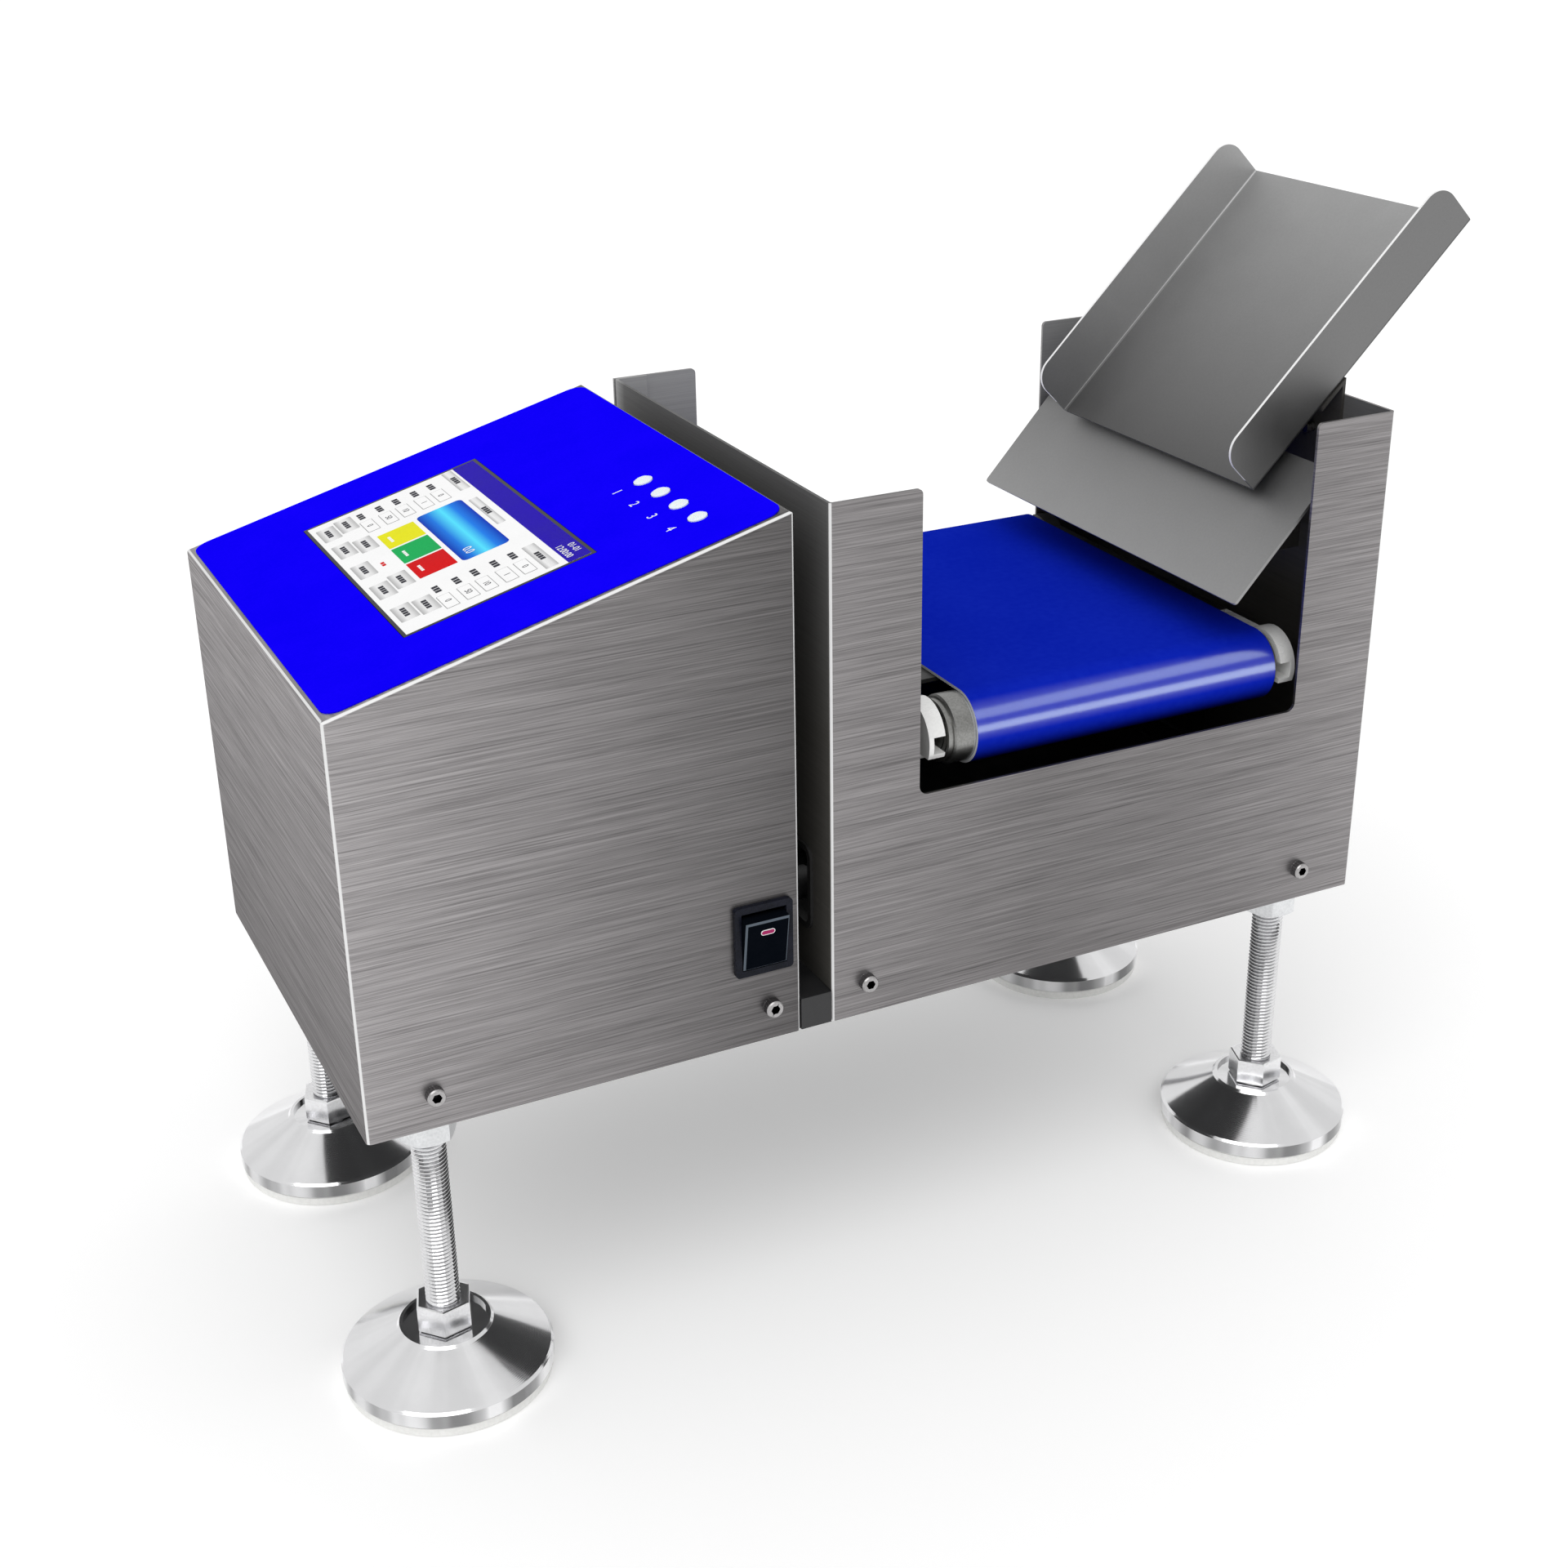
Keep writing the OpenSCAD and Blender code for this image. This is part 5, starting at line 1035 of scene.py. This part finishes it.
def buildRocker(look):
    black = mottledMaterial("switchPlastic", look["frame"], look["shade"], 1500.0, 0.2, 0.32, 0.06,
                            Specular_IOR_Level=0.12)
    dress(black, "rocker_frame")
    paddle, tree, shader = newMaterial("paddlePlastic", Specular_IOR_Level=0.0)
    plastic = mottledInto(tree, shader, look["plastic"], look["shade"], *look["grain"])[0]
    # painted highlight: the paddle's bevels are painted a lighter blue-grey
    bevel = useGroup(tree, bendHighlightMask)["Mask"]
    feed(tree, shader.inputs["Base Color"], mixColour(tree, bevel, plastic, look["bevel"]))
    dress(paddle, "rocker_paddle")
    red = mottledMaterial("lensRed", look["red"], (0.28, 0.006, 0.08), 600.0, 0.12, 0.22, 0.03, Specular_IOR_Level=0.2)
    dress(red, "rocker_lens")
    white = mottledMaterial("ringWhite", (0.85, 0.85, 0.85), (0.76, 0.76, 0.76), 900.0, 0.3, 0.45, 0.03)
    tilt = math.radians(look["tilt"])
    face = (toRow @ Matrix.Translation(look["centre"]) @ Matrix.Translation((0.0, look["pivot"], 0.0))
            @ Matrix.Rotation(tilt, 4, "X") @ Matrix.Translation((0.0, -look["face"], look["lensUp"]))
            @ Matrix.Rotation(math.pi / 2, 4, "X"))
    bm = bmesh.new()
    long, tall = (side / 2 + look["ring"] for side in look["lens"])
    size = Matrix.Diagonal((long, tall, 1.0, 1.0))
    made = bmesh.ops.create_grid(bm, x_segments=1, y_segments=1, size=1.0, matrix=size)
    bmesh.ops.bevel(bm, geom=made["verts"], offset=tall * 0.98, affect="VERTICES", segments=8, profile=0.5, material=-1)
    bmesh.ops.inset_region(bm, faces=bm.faces[:], thickness=look["ring"] + look["overlap"], use_boundary=True,
                           use_even_offset=True)
    middle = max(bm.faces, key=lambda part: len(part.verts))
    bmesh.ops.delete(bm, geom=[middle], context="FACES_ONLY")
    raised = bmesh.ops.extrude_face_region(bm, geom=bm.faces[:])
    top = [item for item in raised["geom"] if isinstance(item, bmesh.types.BMVert)]
    bmesh.ops.translate(bm, verts=top, vec=(0.0, 0.0, look["proud"]))
    bmesh.ops.recalc_face_normals(bm, faces=bm.faces[:])
    bmesh.ops.transform(bm, matrix=face, verts=bm.verts[:])
    finishObject(bm, "rockerLensRing", [white], "paddle")


buildRocker(rockerLook)
print("rocker built")
